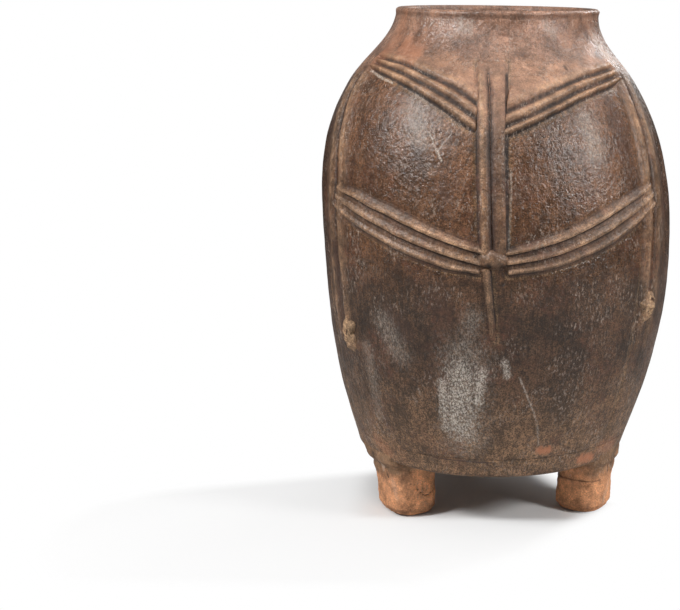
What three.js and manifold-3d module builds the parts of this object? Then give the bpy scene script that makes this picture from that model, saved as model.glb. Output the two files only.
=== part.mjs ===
// A coil-built, burnished terracotta storage jar on three feet, in millimetres.
// Z is up, the ground is z = 0, the jar's axis is the Z axis and its decorated front faces -Y.
// An azimuth is an angle about the axis: 0 at the front, growing towards +X.
// Every piece of clay is a solid of its own, and neighbours are a thin luting gap apart.
import * as THREE from 'three';
import { mergeVertices } from 'three/addons/utils/BufferGeometryUtils.js';
import Module from 'manifold-3d';

// Overall sizes
const JAR_HEIGHT = 520;
const BELLY_RADIUS = 182;
const NECK_RADIUS = 101;
const BASE_RADIUS = 141;
const FOOT_HEIGHT = 61;

// Clay wall: its thickness, the slanted joint between two courses, and the luting gap
const WALL_THICKNESS = 10;
const SCARF_DEPTH = 8;
const LUTING_GAP = 0.3;

// Heights of the courses, the pan and the lip from the bottom of the pan or from the rim
const PAN_FLOOR = 13;
const PAN_SIDE = 23;
const PAN_EDGE_ROUND = 4;
const PAN_ROUND_MIDDLE = 0.3;
const LOWER_COURSE_HEIGHT = 130;
const BELLY_COURSE_HEIGHT = 165;
const NECK_COURSE_HEIGHT = 33;
const LIP_HEIGHT = 9;
const LIP_OVERHANG = 2;
const LIP_SEAT_WIDTH = 4;
const LIP_UNDERCUT = 1.5;
const LIP_TAPER = 0.6;
const LIP_BULGE_SHARE = 0.35;
const LIP_INNER_EDGE_SHARE = 0.6;
const LIP_OUTER_EDGE_SHARE = 0.7;

// Feet: azimuths a third of a turn apart, plan size, how far each toe stands back from the pan, and
// the apron up the pan's side
const FOOT_AZIMUTHS = { front_left: -60, front_right: 60, back: 180 };
const FOOT_WIDTH = 58;
const FOOT_FLARE = 4;
const FOOT_HEEL_RADIUS = 80;
const FOOT_TOE_SETBACK = 9;
const FOOT_EDGE_ROUND = 5;
const FOOT_ROUND_MIDDLE = 0.4;
const FOOT_ROUND_TOP = 1.2;
const FOOT_SQUARENESS = 0.7;
const APRON_HEIGHT = 12;
const APRON_THICKNESS = 4;

// Ribs: sections across the clay, pitch of the rows, and blunt ends drawn in to a share of the section
const CHEVRON_PITCH = 11.3;
const CHEVRON_GROOVE = 1.9;
const CHEVRON_RIB_HEIGHT = 3.6;
const CHEVRON_ROWS = 3;
const RIB_END = 7;
const LONGEST_END_SHARE = 0.3;
const END_MIDDLE_SHARE = 0.4;
const END_WIDTH_SHARE = 0.62;
const END_HEIGHT_SHARE = 0.45;
const RIB_CLEARANCE = 1.2;
const CHEVRON_END_CLEARANCE = 3;

// Centre band of each panel: two upright ribs with a groove between them, a little off the axis
const CENTRE_LEFT_WIDTH = 11;
const CENTRE_RIGHT_WIDTH = 15;
const CENTRE_GROOVE = 4;
const CENTRE_SHIFT = -2.4;
const CENTRE_RIB_HEIGHT = 4.5;
const CENTRE_TOP_BELOW_RIM = 69;

// Knob under the centre ribs, and the low rib that trails from it
const KNOB_WIDTH = 25;
const KNOB_TALL = 15;
const KNOB_HEIGHT = 9;
const TAIL_WIDTH = 7;
const TAIL_LENGTH = 62;
const TAIL_HEIGHT = 2.2;

// Chevrons: heights of the top row's ends, below the rim for the upper set, above the belly for the lower
const UPPER_LEFT = { outer: 45, inner: 82, bow: 2.6 };
const UPPER_RIGHT = { outer: 51, inner: 84, bow: 2.0 };
const LOWER_LEFT = { outer: 57, inner: 13, bow: 1.0 };
const LOWER_RIGHT = { outer: 61, inner: 9, bow: 1.15 };

// Side bands over the feet: two ribs each, fanning out to the shoulder
const SIDE_INNER_AZIMUTH = 55;
const SIDE_OUTER_AZIMUTH = 67.5;
const SIDE_INNER_FAN = 15;
const SIDE_OUTER_FAN = 13;
const SIDE_FAN_BELOW_RIM = 180;
const SIDE_FAN_BEND = 1.8;
const SIDE_TOP_BELOW_RIM = 54;
const SIDE_BOTTOM_ABOVE_PAN = 44;
const CROSSING_WIDTH_SHARE = 0.56;
const SIDE_INNER_WIDTH = 14;
const SIDE_OUTER_WIDTH = 20;
const SIDE_RIB_HEIGHT = 3.6;

// Lugs: worn stubs of clay below the belly, from the outer side rib in over the inner one
const LUG_WIDTH = 42;
const LUG_HEIGHT = 11;
const LEFT_LUG = { belowBelly: 92, tall: 32 };
const RIGHT_LUG = { belowBelly: 63, tall: 36 };

// Fineness of the facets: how far a flat may stand off the curve that it follows, and its longest run
const AROUND = 40;
const OUTER_SAG = 0.12;
const INNER_SAG = 0.6;
const RIB_SAG = 0.17;
const LONGEST_FACET = 40;
const FACET_SAMPLES = 96;
const CROWN_STEPS = 4;
const SPLIT_UNDERSIDE_WIDTH = 16;
const FOOT_POINTS = 20;
const SLOPE_STEP = 0.5;
const RATE_STEP = 1e-3;

const wasm = await Module();
wasm.setup();

// Outline of the jar: outer radius against height, as a smooth curve through the points that shape it.
const bodyHeight = JAR_HEIGHT - FOOT_HEIGHT;
const bellyZ = FOOT_HEIGHT + 0.5 * bodyHeight;
const lowerRadius = (share) => BASE_RADIUS + share * (BELLY_RADIUS - BASE_RADIUS);
const upperRadius = (share) => NECK_RADIUS + share * (BELLY_RADIUS - NECK_RADIUS);
const OUTLINE = [
  [0, BASE_RADIUS],
  [0.16, lowerRadius(0.53)],
  [0.34, lowerRadius(0.89)],
  [0.5, BELLY_RADIUS],
  [0.62, upperRadius(0.98)],
  [0.74, upperRadius(0.83)],
  [0.84, upperRadius(0.55)],
  [0.92, upperRadius(0.18)],
  [0.96, upperRadius(0.055)],
  [1, NECK_RADIUS],
];
const outline = new THREE.CubicInterpolant(
  OUTLINE.map(([share]) => FOOT_HEIGHT + share * bodyHeight),
  OUTLINE.map(([, radius]) => radius),
  1,
);

function wallRadius(z) {
  return outline.evaluate(z)[0];
}

function wallSlope(z) {
  return (wallRadius(z + SLOPE_STEP) - wallRadius(z - SLOPE_STEP)) / (2 * SLOPE_STEP);
}

// Length along the wall for each millimetre of height.
function wallSlant(z) {
  return Math.hypot(1, wallSlope(z));
}

// Radius and height of the point that lies a distance off the wall's outer face, outwards.
function offWall(z, lift) {
  const slant = wallSlant(z);
  return new THREE.Vector2(wallRadius(z) + lift / slant, z - (lift * wallSlope(z)) / slant);
}

// Place on the wall at an azimuth and height, with the wall's outward normal there.
function onWall(azimuth, z) {
  const slant = wallSlant(z);
  const out = new THREE.Vector3(Math.sin(azimuth), -Math.cos(azimuth), -wallSlope(z));
  const radius = wallRadius(z);
  return {
    point: new THREE.Vector3(radius * Math.sin(azimuth), -radius * Math.cos(azimuth), z),
    normal: out.divideScalar(slant),
  };
}

// Values of t from 0 to 1 at which to break a run on the wall into facets. They lie closer together
// where the wall turns more, so that no facet stands off its curve by more than the given sag.
function facetStops(placeAt, sag) {
  const cost = [0];
  let before = placeAt(0);
  for (let i = 1; i <= FACET_SAMPLES; i += 1) {
    const here = placeAt(i / FACET_SAMPLES);
    const length = here.point.distanceTo(before.point);
    const turn = here.normal.angleTo(before.normal);
    cost.push(cost[i - 1] + Math.max(Math.sqrt((turn * length) / (8 * sag)), length / LONGEST_FACET));
    before = here;
  }
  const whole = cost[FACET_SAMPLES];
  const count = Math.max(2, Math.ceil(whole));
  const stops = [];
  for (let k = 0, i = 0; k <= count; k += 1) {
    const wanted = (whole * k) / count;
    while (i + 1 < FACET_SAMPLES && cost[i + 1] < wanted) i += 1;
    stops.push((i + (wanted - cost[i]) / (cost[i + 1] - cost[i])) / FACET_SAMPLES);
  }
  return stops;
}

// Heights from one to another at which the wall's section is broken into facets.
function wallStops(fromZ, toZ, sag) {
  const zAt = (t) => fromZ + (toZ - fromZ) * t;
  return facetStops((t) => onWall(0, zAt(t)), sag).map(zAt);
}

function toSolid(geometry) {
  const bare = geometry.clone();
  bare.deleteAttribute('normal');
  bare.deleteAttribute('uv');
  const merged = mergeVertices(bare, 1e-3);
  return new wasm.Manifold(
    new wasm.Mesh({
      numProp: 3,
      vertProperties: merged.attributes.position.array,
      triVerts: new Uint32Array(merged.index.array),
    }),
  );
}

function toGeometry(solid) {
  const mesh = solid.getMesh();
  const geometry = new THREE.BufferGeometry();
  geometry.setAttribute('position', new THREE.BufferAttribute(new Float32Array(mesh.vertProperties), 3));
  geometry.setIndex(new THREE.BufferAttribute(new Uint32Array(mesh.triVerts), 1));
  geometry.computeVertexNormals();
  return geometry;
}

// A turned solid from its half section, listed up the outside and down the inside.
function turned(points) {
  const geometry = new THREE.LatheGeometry(points, AROUND);
  geometry.rotateX(Math.PI / 2);
  return geometry;
}

// Heights of the joints between courses, at the outer face.
const seamZ = FOOT_HEIGHT + PAN_SIDE;
const lowerJointZ = seamZ + LOWER_COURSE_HEIGHT;
const bellyJointZ = lowerJointZ + BELLY_COURSE_HEIGHT;
const lipZ = JAR_HEIGHT - LIP_HEIGHT;
const neckJointZ = lipZ - NECK_COURSE_HEIGHT;

// Half of the space between two courses, measured along the wall so that it is the luting gap across.
function halfJoint(z) {
  return (0.5 * LUTING_GAP * Math.hypot(1, SCARF_DEPTH / WALL_THICKNESS)) / wallSlant(z);
}

// A course of the wall. Each end slopes down to the inside, as one coil is pressed over the last.
function courseProfile(bottomZ, topZ) {
  const outerBottom = bottomZ + halfJoint(bottomZ);
  const outerTop = topZ - halfJoint(topZ);
  const outer = wallStops(outerBottom, outerTop, OUTER_SAG).map((z) => offWall(z, 0));
  const innerTop = outerTop - SCARF_DEPTH / wallSlant(topZ);
  const innerBottom = outerBottom - SCARF_DEPTH / wallSlant(bottomZ);
  const inner = wallStops(innerTop, innerBottom, INNER_SAG).map((z) => offWall(z, -WALL_THICKNESS));
  return [...outer, ...inner, outer[0]];
}

function panProfile() {
  const outerTop = seamZ - halfJoint(seamZ);
  const innerTop = outerTop - SCARF_DEPTH / wallSlant(seamZ);
  const floorZ = FOOT_HEIGHT + PAN_FLOOR;
  const innerFoot = offWall(floorZ, -WALL_THICKNESS);
  return [
    new THREE.Vector2(0, FOOT_HEIGHT),
    new THREE.Vector2(wallRadius(FOOT_HEIGHT) - PAN_EDGE_ROUND, FOOT_HEIGHT),
    offWall(FOOT_HEIGHT + PAN_ROUND_MIDDLE * PAN_EDGE_ROUND, -PAN_ROUND_MIDDLE * PAN_EDGE_ROUND),
    offWall(FOOT_HEIGHT + PAN_EDGE_ROUND, 0),
    offWall(0.5 * (FOOT_HEIGHT + outerTop), 0),
    offWall(outerTop, 0),
    offWall(innerTop, -WALL_THICKNESS),
    new THREE.Vector2(innerFoot.x - 1, floorZ),
    new THREE.Vector2(0, floorZ),
  ];
}

// The lip coil laps a little over the neck and has a flat seat for a lid.
function lipProfile() {
  const bottom = lipZ + LUTING_GAP;
  const inside = wallRadius(lipZ) - WALL_THICKNESS;
  const outside = wallRadius(lipZ) + LIP_OVERHANG;
  const seatMiddle = 0.5 * (inside + outside);
  return [
    new THREE.Vector2(inside + LIP_UNDERCUT, bottom),
    new THREE.Vector2(outside - LIP_UNDERCUT, bottom),
    new THREE.Vector2(outside, bottom + LIP_BULGE_SHARE * LIP_HEIGHT),
    new THREE.Vector2(outside - LIP_TAPER, bottom + LIP_OUTER_EDGE_SHARE * LIP_HEIGHT),
    new THREE.Vector2(seatMiddle + 0.5 * LIP_SEAT_WIDTH, JAR_HEIGHT),
    new THREE.Vector2(seatMiddle - 0.5 * LIP_SEAT_WIDTH, JAR_HEIGHT),
    new THREE.Vector2(inside, bottom + LIP_INNER_EDGE_SHARE * LIP_HEIGHT),
    new THREE.Vector2(inside + LIP_UNDERCUT, bottom),
  ];
}

// The neck ends square under the lip, so only its lower end is slanted.
function neckProfile() {
  const outerBottom = neckJointZ + halfJoint(neckJointZ);
  const innerBottom = outerBottom - SCARF_DEPTH / wallSlant(neckJointZ);
  const outer = wallStops(outerBottom, lipZ, OUTER_SAG).map((z) => offWall(z, 0));
  const inner = wallStops(lipZ, innerBottom, INNER_SAG).map((z) => offWall(z, -WALL_THICKNESS));
  inner[0].y = lipZ;
  outer[outer.length - 1].y = lipZ;
  return [...outer, ...inner, outer[0]];
}

// A rib of clay laid on the wall. The path gives azimuth and height for t from 0 to 1. The section is
// a low D whose underside follows the wall, and its blunt ends are drawn in over a short length.
function ribGeometry(path, width, height, lift = LUTING_GAP) {
  const rate = (t) => {
    const from = Math.max(0, t - RATE_STEP);
    const to = Math.min(1, t + RATE_STEP);
    const back = path(from);
    const ahead = path(to);
    const z = path(t).z;
    const span = to - from;
    return {
      around: (wallRadius(z) * (ahead.azimuth - back.azimuth)) / span,
      up: (wallSlant(z) * (ahead.z - back.z)) / span,
    };
  };
  const middle = rate(0.5);
  const endShare = Math.min(LONGEST_END_SHARE, RIB_END / Math.hypot(middle.around, middle.up));
  const endMiddle = END_MIDDLE_SHARE * endShare;
  const along = (share) => endShare + (1 - 2 * endShare) * share;
  const placeAt = (share) => onWall(path(along(share)).azimuth, path(along(share)).z);
  const stops = facetStops(placeAt, RIB_SAG).map(along);
  const stations = [0, endMiddle, ...stops, 1 - endMiddle, 1];
  const section = width > SPLIT_UNDERSIDE_WIDTH ? [[0, 0]] : [];
  section.push([0.5, 0]);
  for (let k = 1; k < CROWN_STEPS; k += 1) {
    const turn = (Math.PI * k) / CROWN_STEPS;
    section.push([0.5 * Math.cos(turn), Math.sin(turn)]);
  }
  section.push([-0.5, 0]);
  const vertices = [];
  for (const t of stations) {
    const { azimuth, z } = path(t);
    const { around, up } = rate(t);
    const speed = Math.hypot(around, up);
    const toEnd = Math.min(1, Math.min(t, 1 - t) / endShare);
    const drawn = Math.sqrt(1 - (1 - toEnd) ** 2);
    const widthHere = width * (END_WIDTH_SHARE + (1 - END_WIDTH_SHARE) * drawn);
    const heightHere = height * (END_HEIGHT_SHARE + (1 - END_HEIGHT_SHARE) * drawn);
    for (const [across, rise] of section) {
      const side = across * widthHere;
      const pointZ = z + (side * around) / speed / wallSlant(z);
      const pointAzimuth = azimuth - (side * up) / speed / wallRadius(z);
      const { x: radius, y: level } = offWall(pointZ, lift + rise * heightHere);
      vertices.push(radius * Math.sin(pointAzimuth), -radius * Math.cos(pointAzimuth), level);
    }
  }
  const ring = section.length;
  const faces = [];
  for (let i = 0; i + 1 < stations.length; i += 1) {
    for (let j = 0; j < ring; j += 1) {
      const a = i * ring + j;
      const b = i * ring + ((j + 1) % ring);
      faces.push(a, b, b + ring, a, b + ring, a + ring);
    }
  }
  const last = (stations.length - 1) * ring;
  for (let j = 1; j + 1 < ring; j += 1) {
    faces.push(0, j + 1, j);
    faces.push(last, last + j, last + j + 1);
  }
  const geometry = new THREE.BufferGeometry();
  geometry.setAttribute('position', new THREE.Float32BufferAttribute(vertices, 3));
  geometry.setIndex(faces);
  geometry.computeVertexNormals();
  return geometry;
}

const degrees = THREE.MathUtils.degToRad;

// Half width of the centre band, and the two edges where the chevrons stop.
const bandHalf = 0.5 * (CENTRE_LEFT_WIDTH + CENTRE_GROOVE + CENTRE_RIGHT_WIDTH);
const bandEdge = { left: CENTRE_SHIFT - bandHalf, right: CENTRE_SHIFT + bandHalf };
const azimuthAcross = (across, z) => Math.asin(across / wallRadius(z));

// Azimuth of a side rib at a height: upright up to the belly, then fanning out towards the shoulder.
const fanZ = JAR_HEIGHT - SIDE_FAN_BELOW_RIM;
const sideTopZ = JAR_HEIGHT - SIDE_TOP_BELOW_RIM;
function sideAzimuth(base, fan, z) {
  const share = Math.max(0, (z - fanZ) / (sideTopZ - fanZ));
  return degrees(base + fan * share ** SIDE_FAN_BEND);
}
const innerAzimuth = (z) => sideAzimuth(SIDE_INNER_AZIMUTH, SIDE_INNER_FAN, z);
const outerAzimuth = (z) => sideAzimuth(SIDE_OUTER_AZIMUTH, SIDE_OUTER_FAN, z);

// Path of one chevron row on one side, from the centre band out to the given azimuth. The top row
// follows a bowed line. Each other row lies one pitch below the row over it, measured square to that
// row along the wall.
function chevronPath(side, line, endAzimuth, row) {
  const sign = side === 'left' ? -1 : 1;
  const start = Math.abs(azimuthAcross(bandEdge[side] + sign * CHEVRON_END_CLEARANCE, line.innerZ));
  const topZ = (azimuth) => {
    const t = (azimuth - start) / (line.outerAzimuth - start);
    const share = line.outwards ? t ** line.bow : 1 - (1 - t) ** line.bow;
    return line.innerZ + (line.outerZ - line.innerZ) * share;
  };
  const rowZ = (azimuth, rowsDown) => {
    if (rowsDown === 0) return topZ(azimuth);
    const over = rowZ(azimuth, rowsDown - 1);
    const from = Math.max(start, azimuth - RATE_STEP);
    const to = Math.min(line.outerAzimuth, azimuth + RATE_STEP);
    const rise = (rowZ(to, rowsDown - 1) - rowZ(from, rowsDown - 1)) / (to - from);
    const middle = over - 0.5 * CHEVRON_PITCH;
    const steepness = (rise * wallSlant(middle)) / wallRadius(middle);
    return over - (CHEVRON_PITCH * Math.hypot(1, steepness)) / wallSlant(middle);
  };
  return (t) => {
    const azimuth = start + (endAzimuth - start) * t;
    return { azimuth: sign * azimuth, z: rowZ(azimuth, row) };
  };
}

const chevronWidth = CHEVRON_PITCH - CHEVRON_GROOVE;

function upperChevron(side, row) {
  const ends = side === 'left' ? UPPER_LEFT : UPPER_RIGHT;
  const outerZ = JAR_HEIGHT - ends.outer;
  const innerZ = JAR_HEIGHT - ends.inner;
  const stopAt = (z) => innerAzimuth(z) - (0.5 * SIDE_INNER_WIDTH + CHEVRON_END_CLEARANCE) / wallRadius(z);
  const line = { innerZ, outerZ, bow: ends.bow, outwards: false, outerAzimuth: stopAt(outerZ) };
  return chevronPath(side, line, stopAt(outerZ - row * CHEVRON_PITCH), row);
}

function lowerChevron(side, row) {
  const ends = side === 'left' ? LOWER_LEFT : LOWER_RIGHT;
  const innerZ = bellyZ + ends.inner;
  const outerZ = bellyZ + ends.outer;
  const end = innerAzimuth(bellyZ) + (0.5 * SIDE_INNER_WIDTH) / BELLY_RADIUS;
  return chevronPath(side, { innerZ, outerZ, bow: ends.bow, outwards: true, outerAzimuth: end }, end, row);
}

// An upright run across the wall at a fixed distance from the middle of the panel.
function uprightPath(across, topZ, bottomZ) {
  return (t) => {
    const z = topZ + (bottomZ - topZ) * t;
    return { azimuth: azimuthAcross(across, z), z };
  };
}

// Knob and centre ribs share the height of the lower chevrons' middle row.
const knobZ = bellyZ + 0.5 * (LOWER_LEFT.inner + LOWER_RIGHT.inner) - CHEVRON_PITCH;
const knobTopZ = knobZ + 0.5 * KNOB_TALL;
const knobBottomZ = knobZ - 0.5 * KNOB_TALL;

function knobPath(t) {
  const reach = KNOB_WIDTH / wallRadius(knobZ);
  return { azimuth: azimuthAcross(CENTRE_SHIFT, knobZ) + (t - 0.5) * reach, z: knobZ };
}

// Height at which the inner side rib stops above or below a row of the lower chevrons that crosses it.
function lowerChevronEdge(side, row, above) {
  const middle = innerAzimuth(bellyZ);
  const half = (0.5 * SIDE_INNER_WIDTH) / BELLY_RADIUS;
  const path = lowerChevron(side, row);
  const start = Math.abs(path(0).azimuth);
  const crossing = (azimuth) => path((azimuth - start) / (Math.abs(path(1).azimuth) - start)).z;
  const reach = CROSSING_WIDTH_SHARE * chevronWidth + RIB_CLEARANCE;
  return above ? crossing(middle + half) + reach : crossing(middle - half) - reach;
}

function sidePath(side, azimuthAt, topZ, bottomZ) {
  const sign = side === 'left' ? -1 : 1;
  return (t) => {
    const z = topZ + (bottomZ - topZ) * t;
    return { azimuth: sign * azimuthAt(z), z };
  };
}

const sideBottomZ = FOOT_HEIGHT + SIDE_BOTTOM_ABOVE_PAN;

function lugPath(side) {
  const { belowBelly } = side === 'left' ? LEFT_LUG : RIGHT_LUG;
  const sign = side === 'left' ? -1 : 1;
  const z = bellyZ - belowBelly;
  const reach = LUG_WIDTH / wallRadius(z);
  const end = outerAzimuth(z) - (0.5 * SIDE_OUTER_WIDTH + RIB_CLEARANCE) / wallRadius(z);
  return (t) => ({ azimuth: sign * (end - t * reach), z });
}

// A lug sits over the inner side rib, so the rib with its luting gap is cut out of its underside.
function lugGeometry(side) {
  const { tall } = side === 'left' ? LEFT_LUG : RIGHT_LUG;
  const stub = toSolid(ribGeometry(lugPath(side), tall, LUG_HEIGHT));
  const topZ = lowerChevronEdge(side, CHEVRON_ROWS - 1, false);
  const rib = sidePath(side, innerAzimuth, topZ + 2, sideBottomZ - 2);
  const room = ribGeometry(rib, SIDE_INNER_WIDTH + 2 * LUTING_GAP, SIDE_RIB_HEIGHT + 2 * LUTING_GAP, 0);
  return toGeometry(stub.subtract(toSolid(room)));
}

// The room that the pan takes up, with the luting gap around it.
function panRoom() {
  const bottom = FOOT_HEIGHT - LUTING_GAP;
  const top = FOOT_HEIGHT + 2 * APRON_HEIGHT;
  const heights = [FOOT_HEIGHT + PAN_EDGE_ROUND, FOOT_HEIGHT + APRON_HEIGHT, top];
  return turned([
    new THREE.Vector2(0, bottom),
    new THREE.Vector2(wallRadius(FOOT_HEIGHT) - PAN_EDGE_ROUND + LUTING_GAP, bottom),
    offWall(FOOT_HEIGHT + PAN_ROUND_MIDDLE * PAN_EDGE_ROUND, LUTING_GAP - PAN_ROUND_MIDDLE * PAN_EDGE_ROUND),
    ...heights.map((z) => offWall(z, LUTING_GAP)),
    new THREE.Vector2(0, top),
  ]);
}

// One foot at azimuth 0: a rounded block that leans out to the pan's side and laps up it as an apron.
function footBlock() {
  const topZ = FOOT_HEIGHT + APRON_HEIGHT;
  const toe = wallRadius(FOOT_HEIGHT) - FOOT_TOE_SETBACK;
  const apron = wallRadius(topZ) + APRON_THICKNESS;
  const roundMiddle = FOOT_ROUND_MIDDLE * FOOT_EDGE_ROUND;
  const levels = [0, roundMiddle, FOOT_ROUND_TOP * FOOT_EDGE_ROUND, 0.5 * topZ, topZ];
  const insets = [FOOT_EDGE_ROUND, roundMiddle, 0, 0, 0];
  const vertices = [];
  levels.forEach((z, level) => {
    const share = z / topZ;
    const outer = toe + (apron - toe) * share - insets[level];
    const heel = FOOT_HEEL_RADIUS + insets[level];
    const halfWidth = 0.5 * (FOOT_WIDTH + FOOT_FLARE * share) - insets[level];
    for (let k = 0; k < FOOT_POINTS; k += 1) {
      const turn = (2 * Math.PI * k) / FOOT_POINTS;
      const out = Math.sign(Math.cos(turn)) * Math.abs(Math.cos(turn)) ** FOOT_SQUARENESS;
      const across = Math.sign(Math.sin(turn)) * Math.abs(Math.sin(turn)) ** FOOT_SQUARENESS;
      const radius = 0.5 * (outer + heel) + 0.5 * (outer - heel) * out;
      vertices.push(halfWidth * across, -radius, z);
    }
  });
  const faces = [];
  for (let level = 0; level + 1 < levels.length; level += 1) {
    for (let k = 0; k < FOOT_POINTS; k += 1) {
      const a = level * FOOT_POINTS + k;
      const b = level * FOOT_POINTS + ((k + 1) % FOOT_POINTS);
      faces.push(a, b, b + FOOT_POINTS, a, b + FOOT_POINTS, a + FOOT_POINTS);
    }
  }
  const last = (levels.length - 1) * FOOT_POINTS;
  for (let k = 1; k + 1 < FOOT_POINTS; k += 1) {
    faces.push(0, k + 1, k);
    faces.push(last, last + k, last + k + 1);
  }
  const geometry = new THREE.BufferGeometry();
  geometry.setAttribute('position', new THREE.Float32BufferAttribute(vertices, 3));
  geometry.setIndex(faces);
  return geometry;
}

function footGeometry(azimuth) {
  const room = panRoom();
  room.rotateZ(-degrees(azimuth));
  return toGeometry(toSolid(footBlock()).subtract(toSolid(room)));
}

// Clay colours read from the jar.
const CLAY = {
  shoulder: { color: 0x966e5a, roughness: 0.62 },
  panel: { color: 0x5f4b3e, roughness: 0.5 },
  lower: { color: 0x50413a, roughness: 0.55 },
  rib: { color: 0x96785f, roughness: 0.6 },
  raw: { color: 0xb97350, roughness: 0.85 },
};

function piece(name, geometry, clay) {
  const material = new THREE.MeshStandardMaterial({ ...CLAY[clay], metalness: 0 });
  const mesh = new THREE.Mesh(geometry, material);
  mesh.name = name;
  return mesh;
}

function vessel() {
  const group = new THREE.Group();
  group.add(piece('base_pan', turned(panProfile()), 'lower'));
  group.add(piece('lower_wall', turned(courseProfile(seamZ, lowerJointZ)), 'lower'));
  group.add(piece('belly_wall', turned(courseProfile(lowerJointZ, bellyJointZ)), 'panel'));
  group.add(piece('shoulder_wall', turned(courseProfile(bellyJointZ, neckJointZ)), 'shoulder'));
  group.add(piece('neck', turned(neckProfile()), 'shoulder'));
  group.add(piece('rim_coil', turned(lipProfile()), 'shoulder'));
  return group;
}

function feet() {
  const group = new THREE.Group();
  for (const [place, azimuth] of Object.entries(FOOT_AZIMUTHS)) {
    const foot = piece(`foot_${place}`, footGeometry(azimuth), 'raw');
    foot.rotation.z = degrees(azimuth);
    group.add(foot);
  }
  return group;
}

// One decorated half of the jar, modelled at the front. Left and right are as seen facing it.
function panel(face) {
  const group = new THREE.Group();
  for (const side of ['left', 'right']) {
    for (let row = 0; row < CHEVRON_ROWS; row += 1) {
      const upper = ribGeometry(upperChevron(side, row), chevronWidth, CHEVRON_RIB_HEIGHT);
      group.add(piece(`${face}_upper_chevron_${side}_${row + 1}`, upper, 'rib'));
      const lower = ribGeometry(lowerChevron(side, row), chevronWidth, CHEVRON_RIB_HEIGHT);
      group.add(piece(`${face}_lower_chevron_${side}_${row + 1}`, lower, 'rib'));
    }
  }
  const ribTopZ = JAR_HEIGHT - CENTRE_TOP_BELOW_RIM;
  const ribBottomZ = knobTopZ + RIB_CLEARANCE;
  const centreRibs = {
    left: [bandEdge.left + 0.5 * CENTRE_LEFT_WIDTH, CENTRE_LEFT_WIDTH],
    right: [bandEdge.right - 0.5 * CENTRE_RIGHT_WIDTH, CENTRE_RIGHT_WIDTH],
  };
  for (const [side, [across, width]] of Object.entries(centreRibs)) {
    const rib = ribGeometry(uprightPath(across, ribTopZ, ribBottomZ), width, CENTRE_RIB_HEIGHT);
    group.add(piece(`${face}_centre_rib_${side}`, rib, 'rib'));
  }
  group.add(piece(`${face}_knob`, ribGeometry(knobPath, KNOB_TALL, KNOB_HEIGHT), 'rib'));
  const tailTopZ = knobBottomZ - RIB_CLEARANCE;
  const tail = uprightPath(CENTRE_SHIFT, tailTopZ, tailTopZ - TAIL_LENGTH);
  group.add(piece(`${face}_tail_rib`, ribGeometry(tail, TAIL_WIDTH, TAIL_HEIGHT), 'rib'));
  return group;
}

function sideBands(face) {
  const group = new THREE.Group();
  for (const side of ['left', 'right']) {
    const breakTopZ = lowerChevronEdge(side, 0, true);
    const breakBottomZ = lowerChevronEdge(side, CHEVRON_ROWS - 1, false);
    const runs = {
      inner_upper: [sidePath(side, innerAzimuth, sideTopZ, breakTopZ), SIDE_INNER_WIDTH],
      inner_lower: [sidePath(side, innerAzimuth, breakBottomZ, sideBottomZ), SIDE_INNER_WIDTH],
      outer: [sidePath(side, outerAzimuth, sideTopZ, sideBottomZ), SIDE_OUTER_WIDTH],
    };
    for (const [run, [path, width]] of Object.entries(runs)) {
      const rib = ribGeometry(path, width, SIDE_RIB_HEIGHT);
      group.add(piece(`${face}_side_rib_${side}_${run}`, rib, 'rib'));
    }
    group.add(piece(`${face}_lug_${side}`, lugGeometry(side), 'raw'));
  }
  return group;
}

const jar = new THREE.Group();
jar.add(vessel());
jar.add(feet());
for (const face of ['front', 'back']) {
  const half = new THREE.Group();
  half.add(panel(face));
  half.add(sideBands(face));
  half.rotation.z = face === 'front' ? 0 : Math.PI;
  jar.add(half);
}

export default jar;
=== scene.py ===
# %% [markdown]
# # A terracotta storage jar
#
# The jar is coiled and burnished clay: a tall barrel on three stub feet, with ribs of clay laid on
# its wall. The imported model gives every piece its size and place. Here each piece gets the shape that
# a potter's hands leave, and the worn, smoked surface of an old jar.

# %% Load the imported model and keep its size
import math

import bmesh
import bpy
import numpy as np
from mathutils import Matrix, Vector, noise


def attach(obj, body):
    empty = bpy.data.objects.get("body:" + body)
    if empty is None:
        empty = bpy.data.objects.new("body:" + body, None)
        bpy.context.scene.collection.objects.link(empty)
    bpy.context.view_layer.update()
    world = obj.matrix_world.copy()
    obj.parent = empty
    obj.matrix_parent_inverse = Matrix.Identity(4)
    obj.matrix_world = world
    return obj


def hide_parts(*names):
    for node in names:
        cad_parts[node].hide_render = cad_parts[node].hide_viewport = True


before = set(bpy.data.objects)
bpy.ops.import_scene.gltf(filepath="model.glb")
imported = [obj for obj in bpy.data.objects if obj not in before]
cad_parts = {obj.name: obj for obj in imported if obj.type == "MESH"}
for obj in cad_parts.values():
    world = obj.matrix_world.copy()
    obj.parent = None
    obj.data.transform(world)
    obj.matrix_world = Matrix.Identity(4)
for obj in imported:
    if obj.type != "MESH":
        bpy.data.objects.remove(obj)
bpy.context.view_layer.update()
scene = bpy.context.scene
MM = 0.001
print("pieces in the model:", len(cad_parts))


def object_of(name, data):
    made = bpy.data.objects.new(name, data)
    scene.collection.objects.link(made)
    return made


# %% [markdown]
# ## Camera
#
# The jar was seen from a little over its rim, one and a half metres away, and it stands right of the
# middle of the picture. A photographer would crop the frame. The lens shift does the same here, and
# unlike a turned camera it keeps the upright lines of the jar as they were.

# %% Camera
scene.view_settings.view_transform = "Standard"
PICTURE_WIDTH = 680
SENSOR_WIDTH = 36
FOCAL_PIXELS = 1436.08
JAR_PIXEL = 492.63
CAMERA_HEIGHT = 0.5584
CAMERA_DISTANCE = 1.5
CAMERA_TILT = math.radians(90 - 13.161)
CAMERA_ROLL = math.radians(0.831)

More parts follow.
